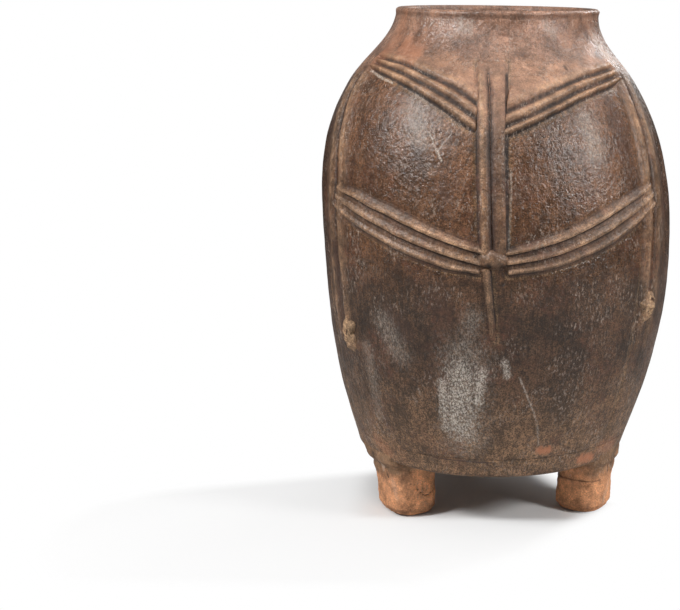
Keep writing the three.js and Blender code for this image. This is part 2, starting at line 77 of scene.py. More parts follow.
camera_data = bpy.data.cameras.new("camera")
camera_data.sensor_width = SENSOR_WIDTH
camera_data.lens = SENSOR_WIDTH * FOCAL_PIXELS / PICTURE_WIDTH
camera_data.shift_x = -(JAR_PIXEL - PICTURE_WIDTH / 2) / PICTURE_WIDTH
camera = object_of("camera", camera_data)
camera.location = (0, -CAMERA_DISTANCE, CAMERA_HEIGHT)
camera.rotation_euler = (Matrix.Rotation(CAMERA_TILT, 3, "X") @ Matrix.Rotation(CAMERA_ROLL, 3, "Z")).to_euler()
scene.camera = camera
print("lens", round(camera_data.lens, 1), "mm, shift", round(camera_data.shift_x, 3))

# %% [markdown]
# ## Helpers for node trees
#
# Both the shapes and the finishes below are node trees. Every tree needs the same acts: add a node, set
# its plain values, wire earlier outputs into it. Two small classes take them up. A wire is a node's
# output that can be added and multiplied like a number, so that the trees below read like sums.

# %% Wires and trees
class Wire:
    """A node's output. A sum written with wires puts in the node that works it out."""

    def __init__(self, tree, socket):
        self.tree = tree
        self.socket = socket
        self.is_vector = socket.type == "VECTOR"

    def __add__(self, other):
        return self.tree.math("ADD", self, other)

    def __sub__(self, other):
        return self.tree.math("SUBTRACT", self, other)

    def __rsub__(self, other):
        return self.tree.math("SUBTRACT", other, self)

    def __mul__(self, other):
        if self.is_vector and not is_vector(other):
            return self.tree.out("ShaderNodeVectorMath", {0: self, "Scale": other}, "Vector", operation="SCALE")
        return self.tree.math("MULTIPLY", self, other)

    def __truediv__(self, other):
        return self.tree.math("DIVIDE", self, other)

    def scaled(self, by, plus):
        return self.tree.math("MULTIPLY_ADD", self, by, plus)

    def at_least(self, other):
        return self.tree.math("MAXIMUM", self, other)

    def at_most(self, other):
        return self.tree.math("MINIMUM", self, other)

    def ramp(self, low, high, start=0.0, end=1.0):
        """Eases from start to end while this wire goes from low to high."""
        inputs = {"Value": self, "From Min": low, "From Max": high, "To Min": start, "To Max": end}
        return self.tree.out("ShaderNodeMapRange", inputs, "Result", interpolation_type="SMOOTHSTEP")


def is_vector(value):
    return value.is_vector if isinstance(value, Wire) else isinstance(value, tuple)


def spaced(inputs):
    """Inputs under the names that the nodes show: Worn_tone is Worn tone."""
    return {label.replace("_", " "): value for label, value in inputs.items()}


class Tree:
    """A node tree in the making. An input takes a plain value or a wire."""

    def __init__(self, tree):
        self.tree = tree

    def add(self, kind, inputs=None, **settings):
        made = self.tree.nodes.new(kind)
        for name, value in settings.items():
            setattr(made, name, value)
        for name, value in (inputs or {}).items():
            if isinstance(value, Wire):
                self.tree.links.new(value.socket, made.inputs[name])
            else:
                made.inputs[name].default_value = value
        return made

    def out(self, kind, inputs=None, output=0, **settings):
        return Wire(self, self.add(kind, inputs, **settings).outputs[output])

    def math(self, operation, *values, clamp=False):
        """A math node, or its vector kind where a vector comes in."""
        inputs = dict(enumerate(values))
        if not any(is_vector(value) for value in values):
            return self.out("ShaderNodeMath", inputs, operation=operation, use_clamp=clamp)
        output = "Value" if operation in ("LENGTH", "DOT_PRODUCT") else "Vector"
        return self.out("ShaderNodeVectorMath", inputs, output, operation=operation)

    def vector_of(self, **parts):
        return self.out("ShaderNodeCombineXYZ", parts)

    def noise(self, place, scale, detail=2, rough=0.5):
        inputs = {"Vector": place, "Scale": scale, "Detail": detail, "Roughness": rough}
        return self.out("ShaderNodeTexNoise", inputs)

    def blend(self, share, under, over, mode="MIX"):
        inputs = {0: share, 6: under, 7: over}
        return self.out("ShaderNodeMix", inputs, 2, data_type="RGBA", blend_type=mode)

    def group(self, group, **inputs):
        return self.out("ShaderNodeGroup", spaced(inputs), node_tree=group)

    def ending(self, value):
        """Closes a node group with its result."""
        self.add("NodeGroupOutput", {0: value})
        return self.tree


def new_group(kind, name, output, **inputs):
    """An empty node group with named inputs and one output: its tree, and a wire for each input."""
    group = bpy.data.node_groups.new(name, kind)
    for label, socket in spaced(inputs).items():
        group.interface.new_socket(label, in_out="INPUT", socket_type="NodeSocket" + socket)
    group.interface.new_socket(output[0], in_out="OUTPUT", socket_type="NodeSocket" + output[1])
    tree = Tree(group)
    return tree, {socket.name: Wire(tree, socket) for socket in tree.add("NodeGroupInput").outputs}


def emptied(owner):
    """The empty tree of a material or of the world."""
    owner.use_nodes = True
    owner.node_tree.nodes.clear()
    return Tree(owner.node_tree)


# %% [markdown]
# ## The wall's curve
#
# A potter who builds with coils pulls the wall to one smooth outline by eye. The outline below is the
# model's own. Two hand-made faults are added to it, both read from the jar: the axis leans a few
# millimetres to and fro with height, and the wall is a little fuller in some places. All three are
# smooth curves through a few points, worked out with the same cubic formula.

# %% Curves through points
def curve_through(points):
    """A smooth curve through (place, value) points, the way a thin strip of wood bends round pins."""
    places, values = zip(*points)

    def value_at(place):
        place = min(max(place, places[0]), places[-1])
        i = 1
        while i < len(places) - 1 and place > places[i]:
            i += 1
        t0, t1 = places[i - 1], places[i]
        before = i - 2 if i > 1 else i
        after = i + 1 if i + 1 < len(places) else i - 1
        half = (t1 - t0) / 2
        weight_before = half / (t0 - places[before])
        weight_after = half / (places[after] - t1)
        p = (place - t0) / (t1 - t0)
        share_before = weight_before * (-p**3 + 2 * p**2 - p)
        share_0 = (1 + weight_before) * p**3 - (1.5 + 2 * weight_before) * p**2 + (weight_before - 0.5) * p + 1
        share_1 = (-1 - weight_after) * p**3 + (1.5 + weight_after) * p**2 + 0.5 * p
        share_after = weight_after * (p**3 - p**2)
        shares = ((before, share_before), (i - 1, share_0), (i, share_1), (after, share_after))
        return sum(share * values[k] for k, share in shares)

    return value_at


def eased(points):
    """A value that eases from point to point and is level at each, like a row of soft steps."""
    places, values = zip(*points)

    def value_at(place):
        i = int(np.clip(np.searchsorted(places, place), 1, len(places) - 1))
        share = min(max((place - places[i - 1]) / (places[i] - places[i - 1]), 0), 1)
        return values[i - 1] + (values[i] - values[i - 1]) * (3 - 2 * share) * share**2

    return value_at


# %% Outline, lean and fullness, in millimetres against height
FOOT_HEIGHT = 61
JAR_HEIGHT = 520
BELLY_RADIUS = 182
NECK_RADIUS = 101
BASE_RADIUS = 141
BODY_HEIGHT = JAR_HEIGHT - FOOT_HEIGHT
LOWER_SHARES = [(0, 0), (0.16, 0.53), (0.34, 0.89), (0.5, 1)]
UPPER_SHARES = [(0.62, 0.98), (0.74, 0.83), (0.84, 0.55), (0.92, 0.18), (0.96, 0.055), (1, 0)]

outline = curve_through([
    (FOOT_HEIGHT + height * BODY_HEIGHT, end + share * (BELLY_RADIUS - end))
    for end, shares in ((BASE_RADIUS, LOWER_SHARES), (NECK_RADIUS, UPPER_SHARES))
    for height, share in shares
])
lean = curve_through(
    [(61, -0.6), (112, 0.8), (180, 3.1), (250, 4.2), (300, 2.6), (350, 0), (420, -3.3), (470, -3.2), (520, 1.2)]
)
fullness = curve_through([(61, 0), (170, 0.5), (250, 0), (355, 0), (437, 0.9), (473, 1.9), (495, 0.7), (520, 1)])


def wall_radius(z):
    return outline(z) + fullness(z)


def wall_slope(z):
    return wall_radius(z + 0.5) - wall_radius(z - 0.5)


def wall_slant(z):
    """Length along the wall for each millimetre of height."""
    return math.hypot(1, wall_slope(z))


def off_wall(z, lift=0):
    """Radius and height of a point over the wall's section."""
    slant = wall_slant(z)
    return wall_radius(z) + lift / slant, z - lift * wall_slope(z) / slant


def wall_point(azimuth, z, lift=0):
    """A point over the wall. The azimuth is in degrees, 0 at the front, growing to the right."""
    radius, level = off_wall(z, lift)
    turn = math.radians(azimuth)
    return Vector((lean(z) + radius * math.sin(turn), -radius * math.cos(turn), level))


def wall_out(azimuth, z):
    turn = math.radians(azimuth)
    return Vector((math.sin(turn), -math.cos(turn), -wall_slope(z))).normalized()


print("belly", round(2 * wall_radius(290)), "mm, neck", round(2 * wall_radius(505)), "mm across")

# %% [markdown]
# ## Lines that carry numbers
#
# Each tree starts from a plain line of points: the section of a wall, or the path of a rib. Numbers
# kept at the points, such as how wide a rib is there, travel with the line through the tree.

# %% Lines, and running a tree on them
def line_object(name, points, closed=False, **numbers):
    """A line of points in millimetres, with one number or direction at each."""
    mesh = bpy.data.meshes.new(name)
    edges = [(i, i + 1) for i in range(len(points) - 1)]
    if closed:
        edges.append((len(points) - 1, 0))
    mesh.from_pydata([Vector(point) * MM for point in points], edges, [])
    for key, row in numbers.items():
        kind, field = ("FLOAT_VECTOR", "vector") if isinstance(row[0], Vector) else ("FLOAT", "value")
        layer = mesh.attributes.new(key, kind, "POINT")
        layer.data.foreach_set(field, np.array(row, dtype=np.float32).ravel())
    return object_of(name, mesh)


def outward(mesh):
    """Turns a closed mesh's faces outwards if need be, and returns its volume."""
    mesh.calc_loop_triangles()
    points = np.empty(3 * len(mesh.vertices))
    mesh.vertices.foreach_get("co", points)
    corners = np.empty(3 * len(mesh.loop_triangles), dtype=np.int64)
    mesh.loop_triangles.foreach_get("vertices", corners)
    a, b, c = (points.reshape(-1, 3)[corners.reshape(-1, 3)[:, k]] for k in range(3))
    volume = float(np.einsum("ij,ij->i", a, np.cross(b, c)).sum() / 6)
    if volume < 0:
        mesh.flip_normals()
    return abs(volume)


def hand_in(piece, clay, *nodes):
    """Turns a piece's faces outwards, fixes it to the jar and hides the model's pieces that it stands for."""
    volume = outward(piece.data)
    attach(piece, "root")
    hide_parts(*nodes)
    print(piece.name, len(piece.data.polygons), "faces,", round(volume * 1e6, 1), "ml of clay")


def made_by(tree, start, **sizes):
    """Runs a shape tree on an object and keeps the result as its plain mesh."""
    modifier = start.modifiers.new("shape", "NODES")
    modifier.node_group = tree
    for item in tree.interface.items_tree:
        if item.in_out == "INPUT" and item.name in sizes:
            modifier[item.identifier] = sizes[item.name]
    graph = bpy.context.evaluated_depsgraph_get()
    shaped = start.evaluated_get(graph)
    mesh = bpy.data.meshes.new_from_object(shaped, preserve_all_data_layers=True, depsgraph=graph)
    start.modifiers.clear()
    start.data = mesh
    mesh.name = start.name
    return start


class ShapeTree(Tree):
    """A tree of geometry nodes, with the acts that only shapes need."""

    def named(self, name, kind="FLOAT"):
        return self.out("GeometryNodeInputNamedAttribute", {"Name": name}, "Attribute", data_type=kind)

    def captured(self, geometry, **values):
        """Keeps values with the points of a geometry, and returns it with the kept values."""
        node = self.add("GeometryNodeCaptureAttribute")
        for name, value in values.items():
            node.capture_items.new("VECTOR" if value.is_vector else "FLOAT", name)
            self.tree.links.new(value.socket, node.inputs[name])
        self.tree.links.new(geometry.socket, node.inputs["Geometry"])
        return [Wire(self, node.outputs[name]) for name in ("Geometry", *values)]

    def stored(self, geometry, name, value):
        inputs = {"Geometry": geometry, "Name": name, "Value": value}
        return self.out("GeometryNodeStoreNamedAttribute", inputs, data_type="FLOAT", domain="POINT")

    def shape_of(self, holder):
        return self.out("GeometryNodeObjectInfo", {"Object": holder}, "Geometry")

    def clay_ending(self, geometry, clay):
        """The last nodes of every shape: smooth shading, real geometry and the clay's finish."""
        smooth = self.out("GeometryNodeSetShadeSmooth", {"Geometry": geometry})
        bend = self.out("GeometryNodeInputMeshEdgeAngle", output="Unsigned Angle")
        corner = self.out("FunctionNodeCompare", {"A": bend, "B": CORNER_ANGLE}, operation="GREATER_THAN")
        inputs = {"Geometry": smooth, "Selection": corner, "Shade Smooth": False}
        smooth = self.out("GeometryNodeSetShadeSmooth", inputs, domain="EDGE")
        real = self.out("GeometryNodeRealizeInstances", {"Geometry": smooth})
        return self.ending(self.out("GeometryNodeSetMaterial", {"Geometry": real, "Material": clay}))


def shape_tree(name, **inputs):
    plain, given = new_group("GeometryNodeTree", name, ("Clay", "Geometry"), Line="Geometry", **inputs)
    return ShapeTree(plain.tree), given


CORNER_ANGLE = 0.8

# %% [markdown]
# ## The clay's finish
#
# The wall was rubbed with a pebble until it shone, fired in an open fire that left dark and red
# clouds, and then handled, rinsed and stored for years. Every tone is made in layers: first the broad
# tone of the zone, then dirt and painted shade in the grooves and close beside the ribs, painted shade
# under the lip and inside the mouth, and wear on the crests. The fire's clouds, the grain and the pale
# bloom go over both, so that no layer looks like clean paint. Bare, dark and pale marks come last, and a
# few of the pale ones are painted highlights. What several materials share is kept in small node groups.

# %% Tones
def tone(red, green, blue):
    """A colour as the eye sees it on a screen, as the amounts of light that the renderer adds up."""
    return (*(((part / 255 + 0.055) / 1.055) ** 2.4 for part in (red, green, blue)), 1.0)


def spread(value, reach):
    """Noise turned into a factor around one."""
    return (value - 0.5).scaled(reach, 1)


def streaked(place, upright):
    """Places pressed together upwards, so that noise read there draws out into upright streaks."""
    return place * (1, 1, upright)


# %% Group: fire clouds and grain
DARKEST, PALEST = 0.42, 2.2


def fired_tones_group():
    tree, given = new_group(
        "ShaderNodeTree", "fired_tones", ("Colour", "Color"),
        Place="Vector", Colour="Color", Clouds="Float", Grain="Float", Red="Float", Bloom="Float",
    )
    place, grain = given["Place"], given["Grain"]
    clouds = spread(tree.noise(place, 19), given["Clouds"])
    blotches = spread(tree.noise(place + (3, 1, 2), 62, 6, 0.75), 3.1)
    spots = spread(tree.noise(place + (7, 5, 1), 250, 3, 0.6), grain * 1.7)
    grains = spread(tree.noise(place, 720, 2, 0.7), grain * 4.4)
    streaks = spread(tree.noise(streaked(place, 0.12), 330, 3, 0.7), grain * 1.8)
    shade = (clouds * blotches * (grains * streaks) * spots).at_least(DARKEST).at_most(PALEST)
    shade = tree.vector_of(X=shade, Y=shade, Z=shade)
    colour = tree.blend(1, given["Colour"], shade, "MULTIPLY")
    red = tree.noise(place + (5, 7, 4), 24, 3, 0.6).ramp(0.46, 0.66)
    red = red * tree.noise(place + (1, 6, 8), 210, 3, 0.7).ramp(0.38, 0.66)
    colour = tree.blend(red * given["Red"], colour, tone(128, 78, 58))
    pale = tree.noise(place + (9, 2, 3), 30).ramp(0.42, 0.68)
    pale = pale * tree.noise(streaked(place + (2, 8, 5), 0.45), 420, 3, 0.75).ramp(0.53, 0.66)
    return tree.ending(tree.blend(pale * given["Bloom"], colour, tone(166, 148, 134)))


# %% Group: dirt and painted shade in the grooves, wear on the crests
def shade_dirt_and_wear_group():
    tree, given = new_group(
        "ShaderNodeTree", "dirt_and_wear", ("Colour", "Color"),
        Place="Vector", Colour="Color", Dirt="Float", Worn="Float", Worn_tone="Color",
    )
    place = given["Place"]
    worn = given["Worn"] * tree.noise(place, 120, 4, 0.7).ramp(0.3, 0.62, 0.35, 1)
    colour = tree.blend(worn * 0.85, given["Colour"], given["Worn tone"])
    # The darkening that comes in is dirt and painted shade alike, laid on in patches in one dark tone.
    dirt_shade_mask = tree.noise(place + (4, 4, 1), 160, 3, 0.6).ramp(0.25, 0.55, 0.68, 1)
    return tree.ending(tree.blend(given["Dirt"].ramp(0.2, 0.85) * dirt_shade_mask, colour, tone(44, 31, 24)))


# %% Group: one mark on the unrolled wall
def mark_group():
    """A mark is a stroke from one place to another on the unrolled wall, with a ragged edge."""
    tree, given = new_group(
        "ShaderNodeTree", "mark", ("Mask", "Float"),
        Place="Vector", From="Vector", To="Vector", Width="Float", Edge="Float",
    )
    start = given["Place"] - given["From"]
    run = given["To"] - given["From"]
    length = tree.math("DOT_PRODUCT", run, run) + 0.0001
    share = tree.math("DIVIDE", tree.math("DOT_PRODUCT", start, run), length, clamp=True)
    away = tree.math("LENGTH", start - run * share) / given["Width"]
    return tree.ending((given["Edge"] - 0.5).scaled(2.2, away).ramp(1.1, 0.15))


# %% Group: the relief of the surface, in millimetres
def relief_group():
    tree, given = new_group(
        "ShaderNodeTree", "relief", ("Height", "Float"),
        Place="Vector", Lumps="Float", Grain="Float", Strokes="Float", Pits="Float",
    )
    place = given["Place"]
    height = tree.noise(place, 560, 3, 0.6) * given["Grain"]
    height = tree.noise(place + (1, 1, 5), 210).scaled(given["Lumps"], height)
    height = tree.noise(streaked(place, 0.14), 190, 3, 0.55).scaled(given["Strokes"], height)
    pits = tree.noise(place + (6, 3, 9), 240, 2, 0.6).ramp(0.6, 0.74)
    return tree.ending(height - pits * given["Pits"])


# %% Group: how rough the surface is
def gloss_group():
    tree, given = new_group(
        "ShaderNodeTree", "gloss", ("Roughness", "Float"), Place="Vector", Burnished="Float", Dull="Float"
    )
    place = given["Place"]
    rough = (tree.noise(place, 60, 4, 0.65) - 0.5).scaled(0.5, given["Burnished"])
    rough = (tree.noise(place + (8, 1, 6), 380, 2, 0.6) - 0.5).scaled(0.25, rough)
    return tree.ending(given["Dull"].scaled(0.35, rough).at_least(0.2).at_most(0.95))


FIRED_TONES = fired_tones_group()
SHADE_DIRT_AND_WEAR = shade_dirt_and_wear_group()
MARK = mark_group()
RELIEF = relief_group()
GLOSS = gloss_group()
print("finish groups:", [group.name for group in bpy.data.node_groups if group.type == "SHADER"])

# %% [markdown]
# ## Burnished clay
#
# The fire left four tones on the wall: reddish brown on the neck and shoulder, dark brown in the
# panels, darker and greyer below, and paler again near the pan. Their borders follow the ribs. One
# tree paints them all from the place on the wall, in azimuth and height, so the tone runs on from
# course to course and from the wall to the ribs. It also paints shade: close beside the ribs, under
# the lip and inside the mouth. Marks that were read from the jar follow as lists; a few of the pale
# ones are painted highlights.

# %% Marks: azimuth and height where one starts and ends, then its width in millimetres and strength
MM_PER_DEGREE = 3.1
# The three on the neck at (-19, 507), (27, 507) and (62, 492) are painted highlights, and the broad ones at (-30,
# 432) and (33, 418) in the panels are scuffs with a painted highlight. The rest are bloom, scuffs and scratches.
PALE_MARKS_AND_HIGHLIGHTS = [
    (-16.2, 166, -16, 118, 8, 0.75), (-3.2, 182, -4.6, 150, 8.5, 0.75), (-10, 178, -10, 118, 24, 0.7),
    (-12, 150, -13, 122, 12, 0.85), (-9, 192, -9.5, 112, 34, 0.26), (4.1, 192, 5, 178, 5.5, 0.6),
    (-21.4, 408, -18.4, 392, 1.3, 0.7), (-16.4, 400, -18.4, 391, 1.1, 0.5), (-18.4, 394, -16.6, 384, 1.5, 0.75),
    (-30, 432, -24, 404, 17, 0.24), (-61, 459.5, -43, 450.5, 1.3, 0.6), (5.1, 376, 4.6, 305, 1.7, 0.3),
    (-19, 507, -14, 503, 10, 0.3), (27, 507, 31, 499, 9, 0.25), (62, 492, 66, 478, 11, 0.3),
    (32.6, 396, 31.8, 389, 3, 0.5), (33, 418, 34.5, 388, 17, 0.3), (-37, 222, -31, 190, 17, 0.2),
    (-46, 190, -45, 120, 12, 0.16), (9, 176, 16, 128, 1.5, 0.4), (16, 128, 18, 100, 2.2, 0.3),
    (-6, 236, -9, 196, 14, 0.2),
]
BARE_MARKS = [
    (18.5, 93.5, 22.5, 92.6, 6, 0.9), (39, 74.5, 45.5, 73, 8, 0.85), (-62, 500, -60, 480, 26, 0.3),
    (-52, 84, -46, 76, 12, 0.3), (-50, 486, -38, 477, 13, 0.45), (50, 82, 60, 78, 12, 0.35),
]
DARK_MARKS = [
    (30.7, 467.8, 30.7, 466.8, 3.2, 0.85), (-23, 82.5, 1, 81, 1.3, 0.85), (-34, 232, -28, 214, 13, 0.45),
    (-17, 262, -14, 225, 16, 0.35), (-50, 408, -52, 350, 9, 0.45), (-43, 398, -42, 360, 15, 0.3),
    (-15, 362, -14, 336, 11, 0.4), (8, 378, 9, 348, 8, 0.4), (-61.5, 285, -60.5, 190, 10, 0.65),
    (47, 430, 49, 345, 17, 0.5), (-20, 485, -5, 480, 9, 0.35), (-46, 508, -44, 492, 10, 0.4),
    (52, 508, 56, 496, 9, 0.4), (0.3, 300, 0.3, 425, 8, 0.35), (-80, 420, -80, 230, 30, 0.3),
]
FOOT_DARK_MARKS = [
    (-52.5, 52, -50.5, 42, 1.3, 0.9), (-58.4, 65, -58, 62, 3, 0.9), (-43, 58, -42, 38, 8, 0.4),
    (60, 60, 61.5, 46, 1.4, 0.85), (48, 36, 57, 38.5, 1.3, 0.6), (-35, 8, -60, 4, 4, 0.3),
]
FOOT_PALE_MARKS = [
    (-53.6, 56, -54, 51, 4.5, 0.4), (-48, 40, -46, 22, 5, 0.15), (66, 30, 62, 12, 6, 0.2),
]


def all_marks(tree, unrolled, edge, rows):
    total = 0
    for start_turn, start_z, end_turn, end_z, width, strength in rows:
        start = (start_turn * MM_PER_DEGREE, start_z, 0)
        end = (end_turn * MM_PER_DEGREE, end_z, 0)
        mask = tree.group(MARK, Place=unrolled, Edge=edge, Width=width, From=start, To=end)
        total = (mask * strength).at_least(total)
    return total


# %% Zones of the fire
TONES = {
    "panel": tone(91, 63, 44),
    "shoulder": tone(138, 103, 81),
    "neck": tone(127, 95, 77),
    "low": tone(68, 48, 33),
    "base": tone(112, 85, 62),
    "flank": tone(69, 48, 34),
    "ochre": tone(124, 98, 72),
}
PANEL_FOOT = (330, 235)
BASE_START = (185, 85)
NECK_START = (468, 490)
FLANK_START = (59, 67)
SHOULDER_LOW = 412
SHOULDER_RISE = 50


def fire_zones(tree, place, azimuth, height):
    wide = tree.noise(place, 26, 3, 0.6).scaled(50, -25)
    fine = tree.noise(place, 150, 3, 0.7).scaled(26, -13)
    level = height + (wide + fine)
    turn = tree.math("ABSOLUTE", azimuth)
    angle = turn.at_most(180 - turn)
    arch = tree.math("SINE", tree.math("RADIANS", angle * 1.45))
    over = (height + fine - arch.scaled(SHOULDER_RISE, SHOULDER_LOW)).ramp(-10, 12)
    flank = (angle + fine * 0.25).ramp(*FLANK_START) * 0.9
    colour = tree.blend(level.ramp(*PANEL_FOOT), TONES["panel"], TONES["low"])
    colour = tree.blend(flank, colour, TONES["flank"])
    colour = tree.blend(level.ramp(*BASE_START), colour, TONES["base"])
    colour = tree.blend(over, colour, TONES["shoulder"])
    return tree.blend(level.ramp(*NECK_START), colour, TONES["neck"]), over


def clay_surface(name):
    """A new clay material: its tree, the place on the object, and the wall unrolled into a sheet."""
    material = bpy.data.materials.new(name)
    tree = emptied(material)
    place = tree.out("ShaderNodeTexCoord", output="Object")
    x, y, z = (Wire(tree, part) for part in tree.add("ShaderNodeSeparateXYZ", {0: place}).outputs)
    azimuth = tree.math("DEGREES", tree.math("ARCTAN2", x, y * -1))
    height = z * 1000
    return material, tree, place, azimuth, height, tree.vector_of(X=azimuth * MM_PER_DEGREE, Y=height)


def kept_mark(tree, name):
    return tree.out("ShaderNodeAttribute", output="Fac", attribute_name=name)


def coat(tree, place, colour, rough, **relief):
    """The last nodes of every clay: relief, colour and gloss on the shader."""
    lift = tree.group(RELIEF, Place=place, **relief)
    facing = tree.out("ShaderNodeBump", {"Height": lift, "Distance": 0.001, "Strength": 1})
    shader = tree.out("ShaderNodeBsdfPrincipled", {"Base Color": colour, "Roughness": rough, "Normal": facing})
    tree.add("ShaderNodeOutputMaterial", {"Surface": shader})


# %% Burnished clay for the wall and the ribs
LIP_SHADE_BAND = 514
MOUTH_SHADE_RADIUS = (97.5, 94.5)


def burnished_clay(name, worn_tone, burnished=0.24, grain=0.64, speckle=1.0):
    material, tree, place, azimuth, height, unrolled = clay_surface(name)
    colour, over = fire_zones(tree, place, azimuth, height)
    near = kept_mark(tree, "near_rib")
    colour = tree.blend(near.ramp(0, 0.75) * 0.45, colour, TONES["ochre"])
    # Painted shade: a darker band under the lip's edge and a darker inside of the mouth, where the jar's own
    # shade falls.
    shade_under_lip = tree.math("ABSOLUTE", height - LIP_SHADE_BAND).ramp(5.5, 1, 0, 0.38)
    shade_in_mouth = tree.math("LENGTH", place * (1000, 1000, 0)).ramp(*MOUTH_SHADE_RADIUS, 0, 0.34)
    # Dirt and painted shade together: the ribs' groove dirt and shade, a painted contact shade close beside the
    # ribs, and the shade under the lip and in the mouth.
    dirt_shade_mask = kept_mark(tree, "dirt").at_least(near.ramp(0.7, 1, 0, 0.5)).at_least(shade_under_lip.at_least(shade_in_mouth))
    worn = kept_mark(tree, "worn")
    colour = tree.group(SHADE_DIRT_AND_WEAR, Place=place, Colour=colour, Dirt=dirt_shade_mask, Worn=worn, Worn_tone=worn_tone)
    coarse = over.scaled(-0.55 * speckle, speckle) * height.ramp(300, 230, 1, 1.35)
    colour = tree.group(FIRED_TONES, Place=place, Colour=colour, Clouds=1.9, Grain=coarse, Red=0.28, Bloom=0.7)
    edge = tree.noise(streaked(place, 0.5), 330, 4, 0.75)
    bare, dark, pale = (all_marks(tree, unrolled, edge, rows) for rows in (BARE_MARKS, DARK_MARKS, PALE_MARKS_AND_HIGHLIGHTS))
    colour = tree.blend(bare, colour, tone(178, 116, 82))
    colour = tree.blend(dark, colour, tone(66, 45, 36))
    # Pale marks broken into specks: bloom and scuffs, and in places painted highlights.
    speckled = tree.noise(streaked(place, 0.65), 640, 3, 0.8).ramp(0.44, 0.6, 0.14, 1)
    colour = tree.blend(pale * speckled, colour, tone(222, 212, 199))
    dull = dirt_shade_mask.at_least(height.ramp(300, 220, 0, 0.9)).at_least(bare.at_least(pale))
    rough = tree.group(GLOSS, Place=place, Burnished=burnished, Dull=dull)
    coat(tree, place, colour, rough, Lumps=1.1, Grain=grain, Strokes=0.4, Pits=0.45)
    return material


WALL_WORN = tone(150, 122, 99)
RIB_WORN = tone(160, 126, 97)
CLAY = {slot: burnished_clay(slot, WALL_WORN) for slot in ("lower_clay", "panel_clay", "shoulder_clay")}
CLAY["rib_clay"] = burnished_clay("rib_clay", RIB_WORN, burnished=0.42, grain=0.62, speckle=0.6)
print("burnished clay:", list(CLAY))

# %% [markdown]
# ## Raw and broken clay
#
# The feet never took a burnish: they are orange, open-grained clay with dried cracks, pale rubbed
# places and soot. The lugs are broken stubs, whose rough inner clay shows.

# %% Raw clay for the feet and the lugs
SMEARED_UP = (34, 60)


def raw_clay(name, base, worn_tone, pits, red, grain, smeared=False):
    material, tree, place, azimuth, height, unrolled = clay_surface(name)
    soot_cloud = tree.noise(place + (2, 5, 1), 38, 3, 0.6)
    colour = tree.blend(soot_cloud.ramp(0.56, 0.7, 0, 0.6), base, tone(110, 84, 70))
    if smeared:
        joined = height + soot_cloud.scaled(50, -25)
        colour = tree.blend(joined.ramp(*SMEARED_UP), colour, tone(124, 95, 70))
    # Dark cracks, and on the lugs the dirt and painted shade round their rims and in their dents.
    dirt = kept_mark(tree, "crack").at_least(kept_mark(tree, "dirt"))
    worn = kept_mark(tree, "worn")
    colour = tree.group(SHADE_DIRT_AND_WEAR, Place=place, Colour=colour, Dirt=dirt, Worn=worn, Worn_tone=worn_tone)
    colour = tree.group(FIRED_TONES, Place=place, Colour=colour, Clouds=0.9, Grain=grain, Red=red, Bloom=0.5)
    rough = tree.group(GLOSS, Place=place, Burnished=0.78, Dull=dirt)
    edge = tree.noise(place, 330, 4, 0.75)
    colour = tree.blend(all_marks(tree, unrolled, edge, FOOT_DARK_MARKS), colour, tone(60, 42, 32))
    colour = tree.blend(all_marks(tree, unrolled, edge, FOOT_PALE_MARKS), colour, tone(206, 192, 176))
    coat(tree, place, colour, rough, Lumps=0.8, Grain=0.5, Strokes=0.2, Pits=pits)
    return material


CLAY["raw_clay"] = raw_clay(
    "raw_clay", tone(205, 145, 103), tone(214, 178, 146), pits=0.6, red=0.15, grain=0.32, smeared=True
)
CLAY["worn_clay"] = raw_clay("worn_clay", tone(100, 75, 55), tone(186, 153, 118), pits=1.2, red=0.3, grain=0.6)

# %% [markdown]
# ## The turned wall
#
# The wall is the main form, and its rule is simple: one section carried round the axis. Spin would do
# it once, in one go. A shape tree keeps the section as a line of points with their radius, height and
# lean, sweeps it round a ring, and then moves every point by soft noise, so the wall is uneven the way
# a beaten and scraped wall is. The noise is read at each point's place, so two courses that meet stay
# together. Beside the ribs the tree presses a shallow trough, where a finger pushed the rib's edge
# down, and keeps the nearness to those lines for the finish to read.

# %% Tree that carries a section round
def turned_clay_tree():
    tree, given = shape_tree(
        "turned_clay", Around="Int", Rib_edges="Object", Hollows="Float", Dents="Float", Trough="Float",
        Trough_width="Float", Finish="Material",
    )
    section = tree.out("GeometryNodeMeshToCurve", {"Mesh": given["Line"]})
    ring = tree.out("GeometryNodeCurvePrimitiveCircle", {"Resolution": given["Around"], "Radius": 0.1})
    ring, turn = tree.captured(ring, turn=tree.out("GeometryNodeSplineParameter", output="Factor"))
    swept = tree.out("GeometryNodeCurveToMesh", {"Curve": ring, "Profile Curve": section})
    turn = turn * (2 * math.pi)
    out = tree.vector_of(X=tree.math("SINE", turn), Y=tree.math("COSINE", turn) * -1)
    place = out * tree.named("from_axis") + tree.vector_of(X=tree.named("lean"), Z=tree.named("level"))
    swept = tree.out("GeometryNodeSetPosition", {"Geometry": swept, "Position": place})
    here = tree.out("GeometryNodeInputPosition")
    uneven = (tree.noise(here, 13, 1.5) - 0.5) * given["Hollows"] + (tree.noise(here, 52) - 0.5) * given["Dents"]
    inputs = {"Geometry": tree.shape_of(given["Rib edges"]), "Sample Position": here}
    away = tree.out("GeometryNodeProximity", inputs, "Distance", target_element="EDGES")
    close = away.ramp(0, given["Trough width"], 1, 0)
    push = out * (uneven - close * given["Trough"])
    swept, close, push = tree.captured(swept, near_rib=close, push=push)
    shaped = tree.out("GeometryNodeSetPosition", {"Geometry": swept, "Offset": push})
    shaped = tree.stored(shaped, "near_rib", close)
    closed = tree.out("GeometryNodeMergeByDistance", {"Geometry": shaped, "Distance": MERGED_WITHIN})
    return tree.clay_ending(closed, given["Finish"])


MERGED_WITHIN = 0.00001
turned_clay = turned_clay_tree()
print("turned clay tree:", len(turned_clay.nodes), "nodes")

